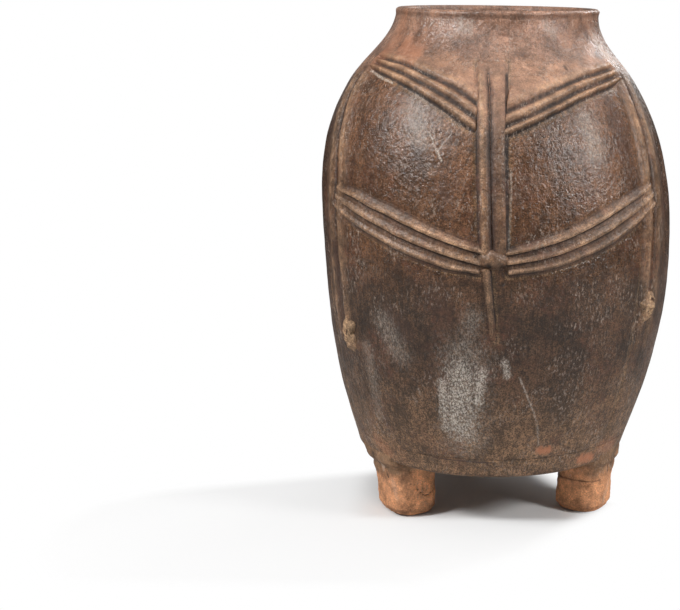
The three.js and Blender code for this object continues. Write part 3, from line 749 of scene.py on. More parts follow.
# %% [markdown]
# ## Paths of the ribs
#
# Each rib group is drawn once, as a line on the wall through a few points of azimuth and height, with
# the widths above and below it. The chevron lines run from left to right. The upright lines of the
# right half run upwards and those of the left half downwards, so that the far side of the section
# always faces the jar's flank. The back carries the same groups, half a turn on.

# %% Paths: points of azimuth and height, then the widths before and after the line
PATH_STEP = 2.0
PATHS = {
    "upper_chevrons_left": (
        [(-64, 466.3), (-48.4, 463.4), (-34.6, 456.9), (-23.9, 448.2), (-15, 438.5), (-5.6, 423)],
        [(0, 6.8), (0.5, 9.8), (0.85, 11.8), (1, 11.8)],
        [(0, 8), (0.5, 11), (0.85, 12.6), (1, 12)],
    ),
    "upper_chevrons_right": (
        [(4.6, 415.8), (16.6, 428.9), (24.9, 437.4), (34.8, 446.5), (47.1, 452.5), (64, 458)],
        [(0, 12.9), (0.3, 12.4), (0.55, 10.6), (1, 8.4)],
        [(0, 10), (0.3, 9.2), (0.55, 9.8), (1, 8)],
    ),
    "lower_chevrons_left": (
        [(-60.5, 338.8), (-46.1, 327.6), (-37.4, 320), (-30, 312.2), (-20.1, 302.8), (-10.9, 295), (-4, 289)],
        [(0, 9.6), (0.25, 13.8), (0.5, 15.2), (0.8, 12.8), (1, 12)],
        [(0, 10.4), (0.25, 12.2), (0.5, 12.8), (0.8, 12), (1, 8.6)],
    ),
    "lower_chevrons_right": (
        [(2.6, 290.5), (13, 295.4), (22.5, 303.2), (33.1, 315.2), (41.4, 325.2), (60, 345.2)],
        [(0, 9.4), (0.25, 12.4), (0.6, 13.4), (1, 10.8)],
        [(0, 9.6), (0.25, 10.8), (0.6, 12.6), (1, 9.6)],
    ),
    "centre_band": (
        [(-1, 297), (-0.7, 350), (-0.25, 395), (-0.1, 430), (-0.4, 474)],
        [(0, 13.6), (1, 14.6)],
        [(0, 14.4), (1, 15)],
    ),
    "tail_rib": ([(-3.1, 286), (-2.4, 255), (-1.5, 232), (-1, 212)], [(0, 4.2), (1, 3)], [(0, 4.2), (1, 3)]),
    "side_band_right": (
        [(57.4, 104), (57.2, 180), (57.5, 250), (58.9, 305), (60, 355), (62.2, 402), (64.6, 440), (66, 466)],
        [(0, 17.5), (1, 17.5)],
        [(0, 25), (0.75, 25), (1, 22)],
    ),
    "side_band_left": (
        [(-67, 466), (-66.4, 440), (-63, 402), (-60.2, 360), (-60.4, 310), (-61, 250), (-59, 180), (-58, 104)],
        [(0, 17.5), (1, 17.5)],
        [(0, 22), (0.25, 25), (1, 25)],
    ),
}


def drawn_path(points):
    """Azimuth and height along a path, one place every few millimetres, and its length."""
    run = [0]
    for (a0, z0), (a1, z1) in zip(points, points[1:]):
        around = math.radians(a1 - a0) * wall_radius((z0 + z1) / 2)
        run.append(run[-1] + math.hypot(around, (z1 - z0) * wall_slant((z0 + z1) / 2)))
    azimuth, height = (curve_through(list(zip(run, row))) for row in zip(*points))
    count = round(run[-1] / PATH_STEP)
    return [(azimuth(run[-1] * i / count), height(run[-1] * i / count)) for i in range(count + 1)], run[-1]


def beside(places, widths, share):
    """The line beside a path, a share of the width away, towards the path's right as one walks it."""
    line = []
    for i, (azimuth, z) in enumerate(places):
        a0, z0 = places[max(i - 1, 0)]
        a1, z1 = places[min(i + 1, len(places) - 1)]
        around = math.radians(a1 - a0) * wall_radius(z)
        rise = (z1 - z0) * wall_slant(z)
        reach = share * widths(i / (len(places) - 1)) / math.hypot(around, rise)
        line.append((azimuth + math.degrees(reach * rise / wall_radius(z)), z - reach * around / wall_slant(z)))
    return line


def kind_of(name):
    return name.removesuffix("_left").removesuffix("_right")


BACK_TURN = {"front": 0, "back": 180}
paths = {}
for name, (points, before, after) in PATHS.items():
    places, length = drawn_path(points)
    paths[name] = {"places": places, "length": length, "before": eased(before), "after": eased(after)}
    print(name, round(length), "mm long")

# %% [markdown]
# The lines where a rib meets the wall are drawn next: the wall's tree reads them to press its troughs.

# %% Rib edges for the troughs
EDGES = {
    "upper_chevrons": [("after", 1.12)],
    "lower_chevrons": [("before", -1.35), ("after", 1.45)],
    "centre_band": [("before", -1.04), ("after", 1.04)],
    "tail_rib": [("before", -1.1)],
    "side_band_right": [("before", -1.15)],
    "side_band_left": [("after", 1.15)],
}
edge_points = []
edge_pairs = []
for turn in BACK_TURN.values():
    for name, path in paths.items():
        for side, share in EDGES.get(name) or EDGES[kind_of(name)]:
            places = beside(path["places"], path[side], share)
            line = [wall_point(azimuth + turn, z) * MM for azimuth, z in places]
            first = len(edge_points)
            edge_points += line
            edge_pairs += [(first + i, first + i + 1) for i in range(len(line) - 1)]
edge_mesh = bpy.data.meshes.new("rib_edges")
edge_mesh.from_pydata(edge_points, edge_pairs, [])
rib_edges = object_of("rib_edges", edge_mesh)
print("rib edge points:", len(edge_points))

# %% [markdown]
# ## Sections of the vessel
#
# The jar comes apart course by course: the pan, three wall courses, the neck and the lip coil. Each
# course is a closed ring of clay. Its ends slope down to the inside, as one coil is pressed over the
# last, and the outside follows the outline. The edges where the pan meets the lowest wall course are
# rounded, so that a thin dark crack shows there, as it does on the jar. The other joints were smoothed
# over.

# %% Sections
WALL_THICKNESS = 10
SCARF_DEPTH = 8
PAN_SIDE = 23
PAN_FLOOR = FOOT_HEIGHT + 13
SEAM = FOOT_HEIGHT + PAN_SIDE
LOWER_JOINT = SEAM + 130
BELLY_JOINT = LOWER_JOINT + 165
LIP = JAR_HEIGHT - 9
NECK_JOINT = LIP - 33
OUTSIDE_STEP = 1.8
INSIDE_STEP = 7.0
AROUND = 720
CRACK_ROUND = 0.2


def steps(start, end, step):
    count = max(1, round(abs(end - start) / step))
    return [start + (end - start) * i / count for i in range(count + 1)]


def course_section(bottom, top, cracked=False):
    """A course's closed section, up its outside and down its inside."""
    section = []
    for z in steps(bottom, top, OUTSIDE_STEP):
        sink = CRACK_ROUND * max(0, 1 - (z - bottom) / CRACK_ROUND / 1.6) ** 2 if cracked else 0
        section.append(off_wall(z, -sink))
    top_inside = top - SCARF_DEPTH / wall_slant(top)
    bottom_inside = bottom - SCARF_DEPTH / wall_slant(bottom)
    return section + [off_wall(z, -WALL_THICKNESS) for z in steps(top_inside, bottom_inside, INSIDE_STEP)]


def turned_object(name, section, closed=True):
    """The base line of a turned piece: its section, standing in the plane beside the axis."""
    numbers = {
        "from_axis": [radius * MM for radius, _ in section],
        "level": [z * MM for _, z in section],
        "lean": [lean(z) * MM for _, z in section],
    }
    return line_object(name, [(radius, 0, z) for radius, z in section], closed, **numbers)


pan_radius = wall_radius(FOOT_HEIGHT)
pan_inside = off_wall(PAN_FLOOR, -WALL_THICKNESS)
pan_section = [(radius, FOOT_HEIGHT + 1.5 * (radius / 150) ** 2) for radius in steps(0, pan_radius - 6, 6)]
pan_section += [(pan_radius - 3.2, FOOT_HEIGHT + 1.6), (pan_radius - 1.2, FOOT_HEIGHT + 2.9)]
pan_section += [off_wall(z) for z in steps(FOOT_HEIGHT + 4.6, SEAM - 2.6, OUTSIDE_STEP)]
pan_section += [off_wall(SEAM - 1.2, -0.1), off_wall(SEAM - 0.3, -CRACK_ROUND)]
pan_section += [off_wall(SEAM - SCARF_DEPTH, -WALL_THICKNESS), (pan_inside[0] - 1, pan_inside[1])]
pan_section += [(radius, PAN_FLOOR) for radius in steps(pan_inside[0] - 8, 0, 12)]

lip_outside = wall_radius(LIP) + 0.4
lip_inside = wall_radius(LIP) - WALL_THICKNESS
LIP_OUTER = [
    (5, 0), (0.4, 0), (0.5, 1.4), (0.5, 2.9), (0.2, 4.3), (0, 5.5), (0.1, 6.6), (0.8, 7.8),
    (2, 8.6), (3.6, 9), (5.6, 9), (8, 8.6), (9.4, 7.6),
]
lip_section = [(lip_inside + 1.5, LIP + 0.1)]
lip_section += [(lip_outside - inwards, LIP + rise) for inwards, rise in LIP_OUTER]
lip_section += [(lip_inside + 0.2, LIP + 6), (lip_inside, LIP + 4), (lip_inside + 0.2, LIP + 1.6)]
COURSES = {
    "base_pan": (pan_section, "lower_clay"),
    "lower_wall": (course_section(SEAM, LOWER_JOINT, cracked=True), "lower_clay"),
    "belly_wall": (course_section(LOWER_JOINT, BELLY_JOINT), "panel_clay"),
    "shoulder_wall": (course_section(BELLY_JOINT, NECK_JOINT), "shoulder_clay"),
    "neck": (course_section(NECK_JOINT, LIP), "shoulder_clay"),
    "rim_coil": (lip_section, "shoulder_clay"),
}
print("section points:", {name: len(section) for name, (section, _) in COURSES.items()})

# %% Make the courses
SHAPE = {"Around": AROUND, "Rib edges": rib_edges, "Hollows": 2 * MM, "Dents": 0.7 * MM}
SHAPE |= {"Trough": 0.7 * MM, "Trough width": 5 * MM}
for name, (section, clay) in COURSES.items():
    start = turned_object(name, section, closed=name != "base_pan")
    hand_in(made_by(turned_clay, start, Finish=CLAY[clay], **SHAPE), clay, name)

# %% [markdown]
# ## A skin to lay the ribs on
#
# The ribs must follow the uneven wall, not the ideal one. The same tree makes the wall's outside once
# more as one open skin. The ribs' tree drops every point onto it, and the skin is thrown away after.

# %% Skin
skin_section = [off_wall(z) for z in steps(FOOT_HEIGHT + 1, LIP, 2.5)]
skin = made_by(turned_clay, turned_object("skin", skin_section, closed=False), Finish=CLAY["panel_clay"], **SHAPE)
outward(skin.data)
print("skin:", len(skin.data.polygons), "faces")

# %% [markdown]
# ## Ribs of clay
#
# The ribs were laid on as coils and drawn out with a fingertip, three at a time for the chevrons, with
# a groove between. A curve with a bevel could make one rib. But these ribs swell, close up and die out
# in the wall, so a tree sweeps a drawn section along each path. The section holds two heights for each
# point, with the grooves and without, and the path says how much of the grooves to cut, so they end
# round and shallow before the rib does. Its edges lie under the skin, so the rib grows out of the wall.
# Where a rib runs into the centre band its end is slanted, so that every crest reaches the band.

# %% Tree that lays a section along a path
def laid_rib_tree():
    tree, given = shape_tree(
        "laid_rib", Section="Object", Skin="Object", Step="Float", Wander="Float", Slant_start="Float",
        Unevenness="Float", Sink="Float", Finish="Material",
    )
    spine = tree.out("GeometryNodeMeshToCurve", {"Mesh": given["Line"]})
    spine = tree.out("GeometryNodeResampleCurve", {"Curve": spine, "Length": given["Step"]}, mode="LENGTH")
    here = tree.out("GeometryNodeInputPosition")
    along = tree.out("GeometryNodeInputTangent")
    spine, place, run = tree.captured(spine, place=here, run=along)
    drawn = tree.out("GeometryNodeMeshToCurve", {"Mesh": tree.shape_of(given["Section"])})
    swept = tree.out("GeometryNodeCurveToMesh", {"Curve": spine, "Profile Curve": drawn, "Fill Caps": True})
    out = tree.named("out", "FLOAT_VECTOR")
    side = tree.math("NORMALIZE", tree.math("CROSS_PRODUCT", run, out))
    across = tree.named("across")
    bulge = 1 - (across * across).at_most(1)
    across = across + tree.named("drift") * bulge
    reach = across.at_most(0) * tree.named("before") + across.at_least(0) * tree.named("after")
    reach = reach + (tree.noise(place, 38, 1) - 0.5) * given["Wander"]
    slant = tree.named("slant") * (reach + given["Slant start"])
    flat = place + side * reach + run * slant
    skin_shape = tree.shape_of(given["Skin"])
    foot = tree.out("GeometryNodeProximity", {"Geometry": skin_shape, "Sample Position": flat}, "Position")
    inputs = {"Mesh": skin_shape, "Value": tree.out("GeometryNodeInputNormal"), "Sample Position": flat}
    up = tree.out("GeometryNodeSampleNearestSurface", inputs, "Value", data_type="FLOAT_VECTOR")
    up = tree.math("NORMALIZE", up + out)
    plain, cut, height = tree.named("plain"), tree.named("cut"), tree.named("height")
    lift = plain + (tree.named("ridged") - plain) * cut
    lumps = tree.noise(flat, 75) - 0.5
    lift = lift * (lumps * given["Unevenness"] + 1)
    lift = lift * height - (1 - height) * given["Sink"]
    lift = lift + (given["Sink"] * -2 - lift) * tree.named("under")
    shaped = tree.out("GeometryNodeSetPosition", {"Geometry": swept, "Position": foot + up * lift})
    for mark in ("dirt", "worn"):
        shaped = tree.stored(shaped, mark, tree.named(mark) * cut * height)
    return tree.clay_ending(shaped, given["Finish"])


laid_rib = laid_rib_tree()
print("laid rib tree:", len(laid_rib.nodes), "nodes")

# %% [markdown]
# Each section is given by a few points: how far across, the height with the grooves cut and the height
# without, in millimetres, then how much dirt and painted shade lie there and how worn it is. The dirt and
# painted shade sit in the grooves and under the crests' steep lower sides, where shade falls.

# %% Sections of the ribs
RIB_SECTIONS = {
    "upper_chevrons": [
        (-3.6, -0.5, -0.5, 0, 0), (-2.9, 0.5, 0.5, 0, 0), (-2.1, 2, 2, 0, 0), (-1.5, 3.1, 3.1, 0, 0.7),
        (-1, 0.5, 3, 0.8, 0), (-0.5, 3.5, 3.3, 0, 1), (0, 0.5, 3.2, 0.8, 0), (0.5, 3.5, 3.3, 0, 1),
        (0.95, 0.1, 0.1, 0.85, 0), (1.15, -0.3, -0.3, 0.3, 0), (1.35, -0.6, -0.6, 0, 0),
    ],
    "lower_chevrons": [
        (-1.75, -0.5, -0.5, 0, 0), (-1.45, 0.2, 0.2, 0.4, 0), (-1.2, 1.3, 1.3, 0, 0.3), (-0.98, 3.2, 2.9, 0, 1),
        (-0.82, 3.1, 2.9, 0, 1), (-0.74, 1, 2.9, 1, 0), (-0.64, 0.5, 2.9, 0.5, 0), (-0.4, 1, 2.9, 0, 0.15),
        (0, 3.3, 3, 0, 1), (0.14, 3.2, 3, 0, 1), (0.23, 1, 2.9, 1, 0), (0.34, 0.5, 2.8, 0.5, 0),
        (0.65, 1, 2.8, 0, 0.2), (0.97, 3, 2.8, 0, 0.9), (1.14, 2.6, 2.4, 0, 0.5), (1.27, 0.8, 0.8, 0.6, 0),
        (1.5, 0.1, 0.1, 0.15, 0), (1.75, -0.5, -0.5, 0, 0),
    ],
    "centre_band": [
        (-1.25, -0.6, -0.5, 0.6, 0), (-1.02, 0, 0.2, 1, 0), (-0.88, 1.6, 1.8, 0.5, 0), (-0.62, 3.8, 3, 0, 1),
        (-0.36, 3.3, 3, 0, 0.35), (-0.15, 1.2, 3, 0.6, 0), (-0.03, -0.1, 3, 1, 0), (0.1, 1.2, 3, 0.5, 0),
        (0.28, 2.9, 3, 0, 0.25), (0.55, 3.3, 3, 0, 0.35), (0.8, 2.8, 2.6, 0.15, 0.15), (0.96, 0.8, 0.8, 1, 0),
        (1.08, 0, 0, 0.9, 0), (1.25, -0.6, -0.5, 0.4, 0),
    ],
    "tail_rib": [
        (-1.5, -0.5, -0.5, 0.3, 0), (-1.15, 0, 0, 1, 0), (-0.5, 1.8, 1.8, 0, 0.4), (0, 2.4, 2.4, 0, 0.8),
        (0.5, 1.8, 1.8, 0, 0.4), (1.1, 0, 0, 0.3, 0), (1.4, -0.5, -0.5, 0, 0),
    ],
    "side_band": [
        (-1.6, -0.5, -0.5, 0, 0), (-1.25, 0.2, 0.2, 0, 0), (-0.8, 1.6, 1.6, 0, 0.4), (-0.45, 2.7, 2.6, 0, 0.9),
        (-0.26, 2.2, 2.6, 0, 0.5), (-0.1, 0.1, 2.4, 0.8, 0), (0, -0.4, 2.4, 1, 0), (0.1, 0.1, 2.4, 0.8, 0),
        (0.25, 1.8, 2.4, 0, 0.3), (0.5, 2.4, 2.4, 0, 0.7), (0.85, 1.6, 1.6, 0, 0.1), (1.25, 0.3, 0.3, 0, 0),
        (1.6, -0.5, -0.5, 0, 0),
    ],
}
OVER_POINTS = 77
UNDER_POINTS = 11


def rib_section(name, knots):
    """A closed section line: over the rib from side to side, and back under it."""
    first, last = knots[0][0], knots[-1][0]
    over = [first + (last - first) * i / (OVER_POINTS - 1) for i in range(OVER_POINTS)]
    under = [last + (first - last) * i / (UNDER_POINTS + 1) for i in range(1, UNDER_POINTS + 1)]
    across = over + under
    numbers = {"across": across, "under": [0] * len(over) + [1] * len(under)}
    for k, (key, unit) in enumerate((("ridged", MM), ("plain", MM), ("dirt", 1), ("worn", 1)), start=1):
        height = eased([(knot[0], knot[k]) for knot in knots])
        numbers[key] = [height(a) * unit for a in across]
    height = eased([knot[:2] for knot in knots])
    points = [(a, height(a), 0) for a in over] + [(a, -2, 0) for a in under]
    return line_object(name + "_section", points, closed=True, **numbers)


rib_sections = {name: rib_section(name, knots) for name, knots in RIB_SECTIONS.items()}
print("rib sections:", list(rib_sections))

# %% [markdown]
# The ends come next. A rib's end is blunt and round, so its height follows a quarter circle over a few
# millimetres. The grooves start a little further in.

# %% Ends of the ribs on the left half: the round end, the stretch without grooves, and their easing in
ENDS = {
    "upper_chevrons": [(5, 4, 9), (3.5, 0, 0)],
    "lower_chevrons": [(5, 1, 4), (3.5, 0, 0)],
    "centre_band": [(3, 0, 0), (5, 8, 8)],
    "tail_rib": [(2, 0, 0), (30, 0, 0)],
    "side_band": [(14, 5, 10), (30, 4, 10)],
}
DRIFT = {"centre_band": eased([(0, 0), (0.6, -0.02), (0.78, -0.08), (1, -0.24)])}
SLANT = {
    "upper_chevrons_left": eased([(0, 0), (0.7, 0), (1, 0.62)]),
    "upper_chevrons_right": eased([(0, -0.62), (0.3, 0), (1, 0)]),
}
FADE = {
    "side_band_right": eased([(0, 0), (0.2, 0.25), (0.38, 0.7), (0.6, 0.85), (1, 0.8)]),
    "side_band_left": eased([(0, 0.85), (0.4, 0.95), (0.62, 0.7), (0.8, 0.25), (1, 0)]),
    "centre_band": eased([(0, 1), (0.8, 1), (1, 0.75)]),
}


def at_share(table, name, share, otherwise):
    return float(table[name](share)) if name in table else otherwise


def rib_spine(name, turn):
    """The points of a rib's path and the numbers that go with them."""
    path = paths[name]
    count = len(path["places"]) - 1
    ends = ENDS[kind_of(name)]
    if name.endswith("_right"):
        ends = ends[::-1]
    rows = {key: [] for key in ("before", "after", "height", "cut", "drift", "slant")}
    for i in range(count + 1):
        share = i / count
        run = path["length"] * i / count
        height = at_share(FADE, name, share, 1.0)
        cut = 1.0
        for reach, (round_end, dead, fade) in zip((run, path["length"] - run), ends):
            height *= math.sqrt(1 - (1 - min(1, reach / round_end)) ** 2)
            if dead + fade > 0:
                eased_in = min(max((reach - dead) / fade, 0), 1)
                cut *= (3 - 2 * eased_in) * eased_in**2
        rows["height"].append(height)
        rows["cut"].append(cut)
        rows["before"].append(path["before"](share) * MM)
        rows["after"].append(path["after"](share) * MM)
        rows["drift"].append(at_share(DRIFT, name, share, 0.0))
        rows["slant"].append(at_share(SLANT, name, share, 0.0))
    points = [wall_point(azimuth + turn, z) for azimuth, z in path["places"]]
    rows["out"] = [wall_out(azimuth + turn, z) for azimuth, z in path["places"]]
    return points, rows


def replaced_ribs(face, name):
    kind, _, side = name.rpartition("_")
    if name == "centre_band":
        return [f"{face}_centre_rib_left", f"{face}_centre_rib_right"]
    if name == "tail_rib":
        return [f"{face}_tail_rib"]
    if kind == "side_band":
        return [f"{face}_side_rib_{side}_{run}" for run in ("inner_upper", "inner_lower", "outer")]
    return [f"{face}_{kind[:-1]}_{side}_{row}" for row in (1, 2, 3)]


# %% The ribs
RIB_CLAY = "rib_clay"
RIB_SHAPE = {"Skin": skin, "Step": 1 * MM, "Wander": 1.6 * MM, "Slant start": 5 * MM}
RIB_SHAPE |= {"Unevenness": 0.55, "Sink": 0.9 * MM, "Finish": CLAY[RIB_CLAY]}
for face, turn in BACK_TURN.items():
    for name in PATHS:
        points, numbers = rib_spine(name, turn)
        spine = line_object(f"{face}_{name}", points, **numbers)
        rib = made_by(laid_rib, spine, Section=rib_sections[kind_of(name)], **RIB_SHAPE)
        hand_in(rib, RIB_CLAY, *replaced_ribs(face, name))

# %% [markdown]
# ## Lumps of clay
#
# The knob under the centre ribs is a pellet pinched onto the wall, and the lugs on the side bands are
# stubs whose loops broke off long ago. Both are domes with an uneven edge. A plain mesh grown in rings
# from the middle out is enough: each point is set over the wall by its height, and noise makes the
# pinches and the broken faces. The rim of each lump lies inside the wall.

# %% Lumps
RINGS = 26
SPOKES = 72
RIM_DEPTH = 1.2
BACK_DEPTH = 4


def object_from(name, shape, clay, flat=()):
    """Turns a finished mesh into an object of its clay, smooth but for the flat faces."""
    for face in shape.faces:
        face.smooth = face not in flat
    mesh = bpy.data.meshes.new(name)
    shape.to_mesh(mesh)
    shape.free()
    mesh.materials.append(CLAY[clay])
    return object_of(name, mesh)


def clay_lump(name, clay, azimuth, z, half_across, half_up, height, steep, roughness, ragged, worn, dents):
    """A dome of clay on the wall. steep shapes its side, and each dent is (across, up, reach, depth)."""
    shape = bmesh.new()
    dirt_and_shade_layer = shape.verts.layers.float.new("dirt")
    worn_layer = shape.verts.layers.float.new("worn")
    rows = []
    for ring in range(RINGS + 1):
        share = ring / RINGS
        row = []
        for spoke in range(SPOKES if ring else 1):
            angle = 2 * math.pi * spoke / SPOKES
            edge = 1 + ragged * noise.noise(Vector((2 * math.cos(angle), 2 * math.sin(angle), azimuth)))
            across = half_across * edge * share * math.cos(angle)
            up = half_up * edge * share * math.sin(angle)
            lift = height * (1 - share**steep) - RIM_DEPTH * share**6
            seed = Vector((across, up, azimuth))
            lift += roughness * (1 - share**8) * (noise.noise(seed * 0.22) + 0.5 * noise.noise(seed * 0.55))
            # Dirt and painted shade: darker round the lump's rim, where it meets the wall, and in its dents.
            dirt = 0.6 * max(0, 6 * share - 5)
            for dent_across, dent_up, reach, depth in dents:
                near = max(0, 1 - math.hypot(across - dent_across, up - dent_up) / reach)
                lift -= depth * near**2 * (3 - 2 * near)
                dirt = max(dirt, near)
            turn = math.degrees(across / wall_radius(z))
            vert = shape.verts.new(wall_point(azimuth + turn, z + up / wall_slant(z), lift) * MM)
            vert[dirt_and_shade_layer] = dirt
            vert[worn_layer] = worn * (1 - share**3)
            row.append(vert)
        rows.append(row)
    back = shape.verts.new(wall_point(azimuth, z, -BACK_DEPTH) * MM)
    for k in range(SPOKES):
        n = (k + 1) % SPOKES
        shape.faces.new((rows[0][0], rows[1][k], rows[1][n]))
        shape.faces.new((back, rows[-1][n], rows[-1][k]))
        for inner, outer in zip(rows[1:], rows[2:]):
            shape.faces.new((inner[k], outer[k], outer[n], inner[n]))
    return object_from(name, shape, clay)


LUMPS = {
    "knob": dict(
        azimuth=-0.8, z=293.4, half_across=15.5, half_up=10.2, height=6.4, steep=2.6, roughness=0.7,
        ragged=0.14, worn=0.4, dents=[(-4, -6, 5.5, 2.6), (7, -7, 4.5, 1.4)],
    ),
    "lug_left": dict(
        azimuth=-57, z=197.5, half_across=13.5, half_up=18.5, height=4.6, steep=2, roughness=1.5,
        ragged=0.45, worn=0.9, dents=[(-1, 3, 5, 1.2)],
    ),
    "lug_right": dict(
        azimuth=57, z=231.5, half_across=14.5, half_up=19, height=6, steep=2.6, roughness=2.4,
        ragged=0.4, worn=1, dents=[(-2, -3, 4.5, 3), (3, 8, 4, 1.8), (4, -9, 3, 1.6)],
    ),
}
for face, turn in BACK_TURN.items():
    for name, sizes in LUMPS.items():
        clay = RIB_CLAY if name == "knob" else "worn_clay"
        lump = clay_lump(f"{face}_{name}", clay, **{**sizes, "azimuth": sizes["azimuth"] + turn})
        hand_in(lump, clay, f"{face}_{name}")

# %% [markdown]
# ## Feet
#
# Three stub feet of rougher clay stand under the pan, a third of a turn apart. Each is a block squeezed
# by hand: square with round corners in plan, rounded where it meets the ground, and smeared up the pan
# as a short apron. Rings from the sole upwards make it, and noise gives the squeezes, the dried cracks
# and the worn lower edge. The upper end is buried in the pan's own clay. The front feet stand a little
# off the even thirds and differ in width, as they do on the jar.

# %% Feet: azimuth, shift in x and y, and width against the even foot
FEET = {"front_left": (-60, 4, -9, 1.12), "front_right": (60, 9, 5, 0.95), "back": (180, 0, 0, 1)}
FOOT_LEVELS = 64
FOOT_POINTS = 132
FOOT_TOP = 73.5
SQUARENESS = 0.72
CRACK_DEPTH = 1.5
CRACK_FINENESS = 22
APRON_START = 40
SHIFT_FADE_START = 45
SHIFT_FADE = 28
SQUEEZES = [(2.2, 0.035), (0.9, 0.11), (0.3, 0.4)]
toe = eased([(0, 123), (3, 128.5), (9, 131.5), (30, 132.5), (52, 136), (62, 143), (69, 146.5), (73.5, 145)])
heel = eased([(0, 88), (3, 83), (9, 80), (50, 80), (73.5, 78)])
half_width = eased(
    [(0, 21), (3, 25.5), (9, 28.4), (20, 29), (42, 29), (52, 30.5), (60, 34), (66, 35), (73.5, 33)]
)
apron_lift = eased([(40, 6), (52, 4), (62, 2.2), (68, 0.9), (73.5, -1.5)])


def squared(value):
    return math.copysign(abs(value) ** SQUARENESS, value)


def foot(name, clay, azimuth, shift_x, shift_y, width):
    shape = bmesh.new()
    crack_layer = shape.verts.layers.float.new("crack")
    turn = math.radians(azimuth)
    rows = []
    for level in range(FOOT_LEVELS + 1):
        z = FOOT_TOP * (level / FOOT_LEVELS) ** 1.15
        moved = 1 - 0.6 * max(0, (z - SHIFT_FADE_START) / SHIFT_FADE) ** 2
        middle = 0.5 * (toe(z) + heel(z))
        row = []
        for k in range(FOOT_POINTS):
            angle = 2 * math.pi * k / FOOT_POINTS
            radius = middle + 0.5 * (toe(z) - heel(z)) * squared(math.cos(angle))
            side = half_width(z) * width * squared(math.sin(angle))
            seed = Vector((side, radius, z + 3 * azimuth))
            squeeze = sum(depth * noise.noise(seed * fineness) for depth, fineness in SQUEEZES)
            seam = abs(noise.noise(seed * 0.045 + Vector((7, 3, 1)))) * CRACK_FINENESS
            open_here = max(0, noise.noise(seed * 0.03 + Vector((1, 9, 4))) - 0.05) * 3
            crack = max(0, 1 - seam) * min(1, open_here)
            squeeze -= CRACK_DEPTH * crack
            grown = Vector((side, radius - middle, 0))
            grown *= 1 + squeeze * min(1, z / 6) / max(grown.length, 1)
            side, radius = grown.x, grown.y + middle
            x = radius * math.sin(turn) + side * math.cos(turn) + shift_x * moved
            y = -radius * math.cos(turn) + side * math.sin(turn) + shift_y * moved
            reach = math.hypot(x, y)
            limit = wall_radius(max(z, FOOT_HEIGHT)) + apron_lift(z)
            if z > APRON_START and reach > limit:
                x, y = x * limit / reach, y * limit / reach
            vert = shape.verts.new(Vector((x + lean(FOOT_HEIGHT), y, z)) * MM)
            vert[crack_layer] = crack
            row.append(vert)
        rows.append(row)
    for lower, upper in zip(rows, rows[1:]):
        for k in range(FOOT_POINTS):
            n = (k + 1) % FOOT_POINTS
            shape.faces.new((lower[k], lower[n], upper[n], upper[k]))
    ends = [shape.faces.new(list(reversed(rows[0]))), shape.faces.new(rows[-1])]
    return object_from(name, shape, clay, flat=ends)


for place, sizes in FEET.items():
    hand_in(foot(f"foot_{place}", "raw_clay", *sizes), "raw_clay", f"foot_{place}")

# %% Put the drawing lines away
for helper in [skin, rib_edges, *rib_sections.values()]:
    bpy.data.objects.remove(helper)

# %% [markdown]
# ## Floor and light
#
# The jar stands on a white sweep of paper, lit by soft boxes from both sides and a pale dome. Studio
# pictures of this kind are cut out round the shadow afterwards, so the floor does the same with masks
# that only the camera sees. Near the jar it sees the lit paper with the jar's own shadow. Past the
# outline of the shadow, drawn as a few straight edges, it sees plain white. In front and at the left the
# shadow is thinned with a pale grey. Light that bounces off the paper meets a darker tone than the
# camera does, so that the burnished clay near the ground doesn't mirror a white haze.

# %% Floor
FLOOR_HALF = 40
SHADOW_EDGES = [
    ((-0.31, 0.95, 0), 0.084),
    ((-0.57, 0.82, 0), 0.179),
    ((-0.91, 0.42, 0), 0.345),
    ((-1, 0, 0), 0.435),
    ((-0.85, -0.53, 0), 0.477),
    ((0, -1, 0), 0.262),
    ((0.6, -0.8, 0), 0.167),
    ((0.85, -0.53, 0), 0.127),
    ((0.81, 0.59, 0), 0.072),
]
SHADOW_SOFTNESS = (-0.018, 0.016)
THINNED_IN_FRONT = (0.084, 0.102)
THINNED_AT_LEFT = (0.118, 0.16)
THINNED = 0.6
PAPER_END = (0.6, 1.1)
PALE_GREY = 0.905
PAPER_SEEN, PAPER_BOUNCED, PAPER_FAR = 0.79, 0.48, 0.1


def grey(level):
    return (level, level, level, 1)


def seen(tree):
    rays = tree.add("ShaderNodeLightPath").outputs
    return Wire(tree, rays["Is Camera Ray"]).at_least(Wire(tree, rays["Is Transmission Ray"]))


def glow(tree, level):
    return tree.out("ShaderNodeEmission", {"Color": grey(level), "Strength": 1})


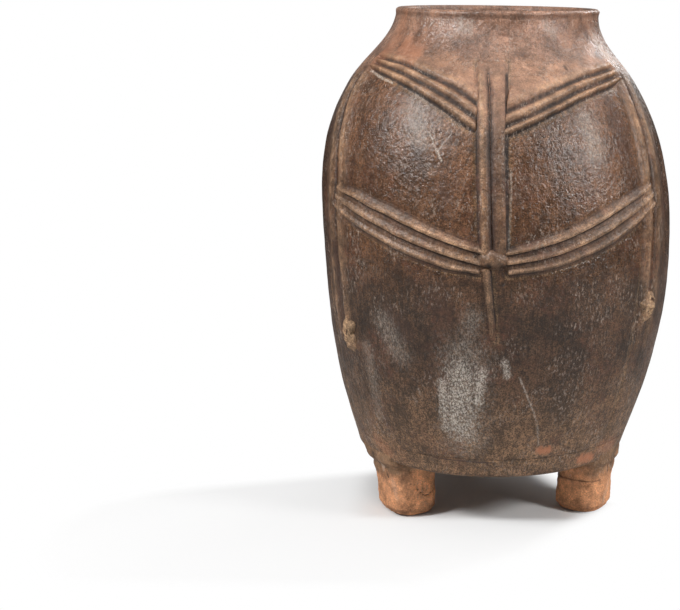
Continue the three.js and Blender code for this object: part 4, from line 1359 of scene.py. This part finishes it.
floor_mesh = bpy.data.meshes.new("floor")
corners = [(x * FLOOR_HALF, y * FLOOR_HALF, 0) for x, y in ((-1, -1), (1, -1), (1, 1), (-1, 1))]
floor_mesh.from_pydata(corners, [], [(0, 1, 2, 3)])
floor = object_of("floor", floor_mesh)
paper = bpy.data.materials.new("floor_paper")
tree = emptied(paper)
place = tree.out("ShaderNodeTexCoord", output="Object")
outside = -1
for normal, edge in SHADOW_EDGES:
    outside = (tree.math("DOT_PRODUCT", place, normal) - edge).at_least(outside)
in_front = tree.math("DOT_PRODUCT", place, (0, -1, 0)).ramp(*THINNED_IN_FRONT)
at_left = tree.math("DOT_PRODUCT", place, (-1, 0, 0)).ramp(*THINNED_AT_LEFT)
from_jar = tree.math("LENGTH", place)
is_seen = seen(tree)
colour = tree.blend(is_seen, grey(PAPER_BOUNCED), grey(PAPER_SEEN))
colour = tree.blend(from_jar.ramp(*PAPER_END), colour, grey(PAPER_FAR))
lit = tree.out("ShaderNodeBsdfDiffuse", {"Color": colour})
thinned = is_seen * (in_front.at_least(at_left) * THINNED)
shadowed = tree.out("ShaderNodeMixShader", {0: thinned, 1: lit, 2: glow(tree, PALE_GREY)})
plain = is_seen * outside.ramp(*SHADOW_SOFTNESS)
sheet = tree.out("ShaderNodeMixShader", {0: plain, 1: shadowed, 2: glow(tree, 1)})
tree.add("ShaderNodeOutputMaterial", {"Surface": sheet})
floor_mesh.materials.append(paper)

# %% Light
DOME = 0.19
scene.world = bpy.data.worlds.new("studio")
tree = emptied(scene.world)
strength = seen(tree).scaled(1 - DOME, DOME)
dome = tree.out("ShaderNodeBackground", {"Color": grey(1), "Strength": strength})
tree.add("ShaderNodeOutputWorld", {"Surface": dome})
LAMPS = {
    "softbox_left": ((-1.18, -0.77, 1.25), (0, -0.1, 0.35), 0.3, 22),
    "softbox_right": ((1.23, -0.75, 0.96), (0, -0.1, 0.35), 0.29, 15.5),
    "key": ((1.35, 0.57, 2.1), (0, 0, 0.2), 0.6, 13),
    "overhead": ((-0.2, -0.9, 2.5), (0, 0, 0.2), 2, 28),
    "rim_light": ((1.05, 1.75, 1.2), (0, 0, 0.4), 0.6, 9),
}
for name, (place, aim, size, power) in LAMPS.items():
    lamp = bpy.data.lights.new(name, "AREA")
    lamp.size = size
    lamp.energy = power
    box = object_of(name, lamp)
    box.location = place
    box.rotation_euler = (Vector(aim) - Vector(place)).to_track_quat("-Z", "Y").to_euler()
print("lamps:", list(LAMPS))
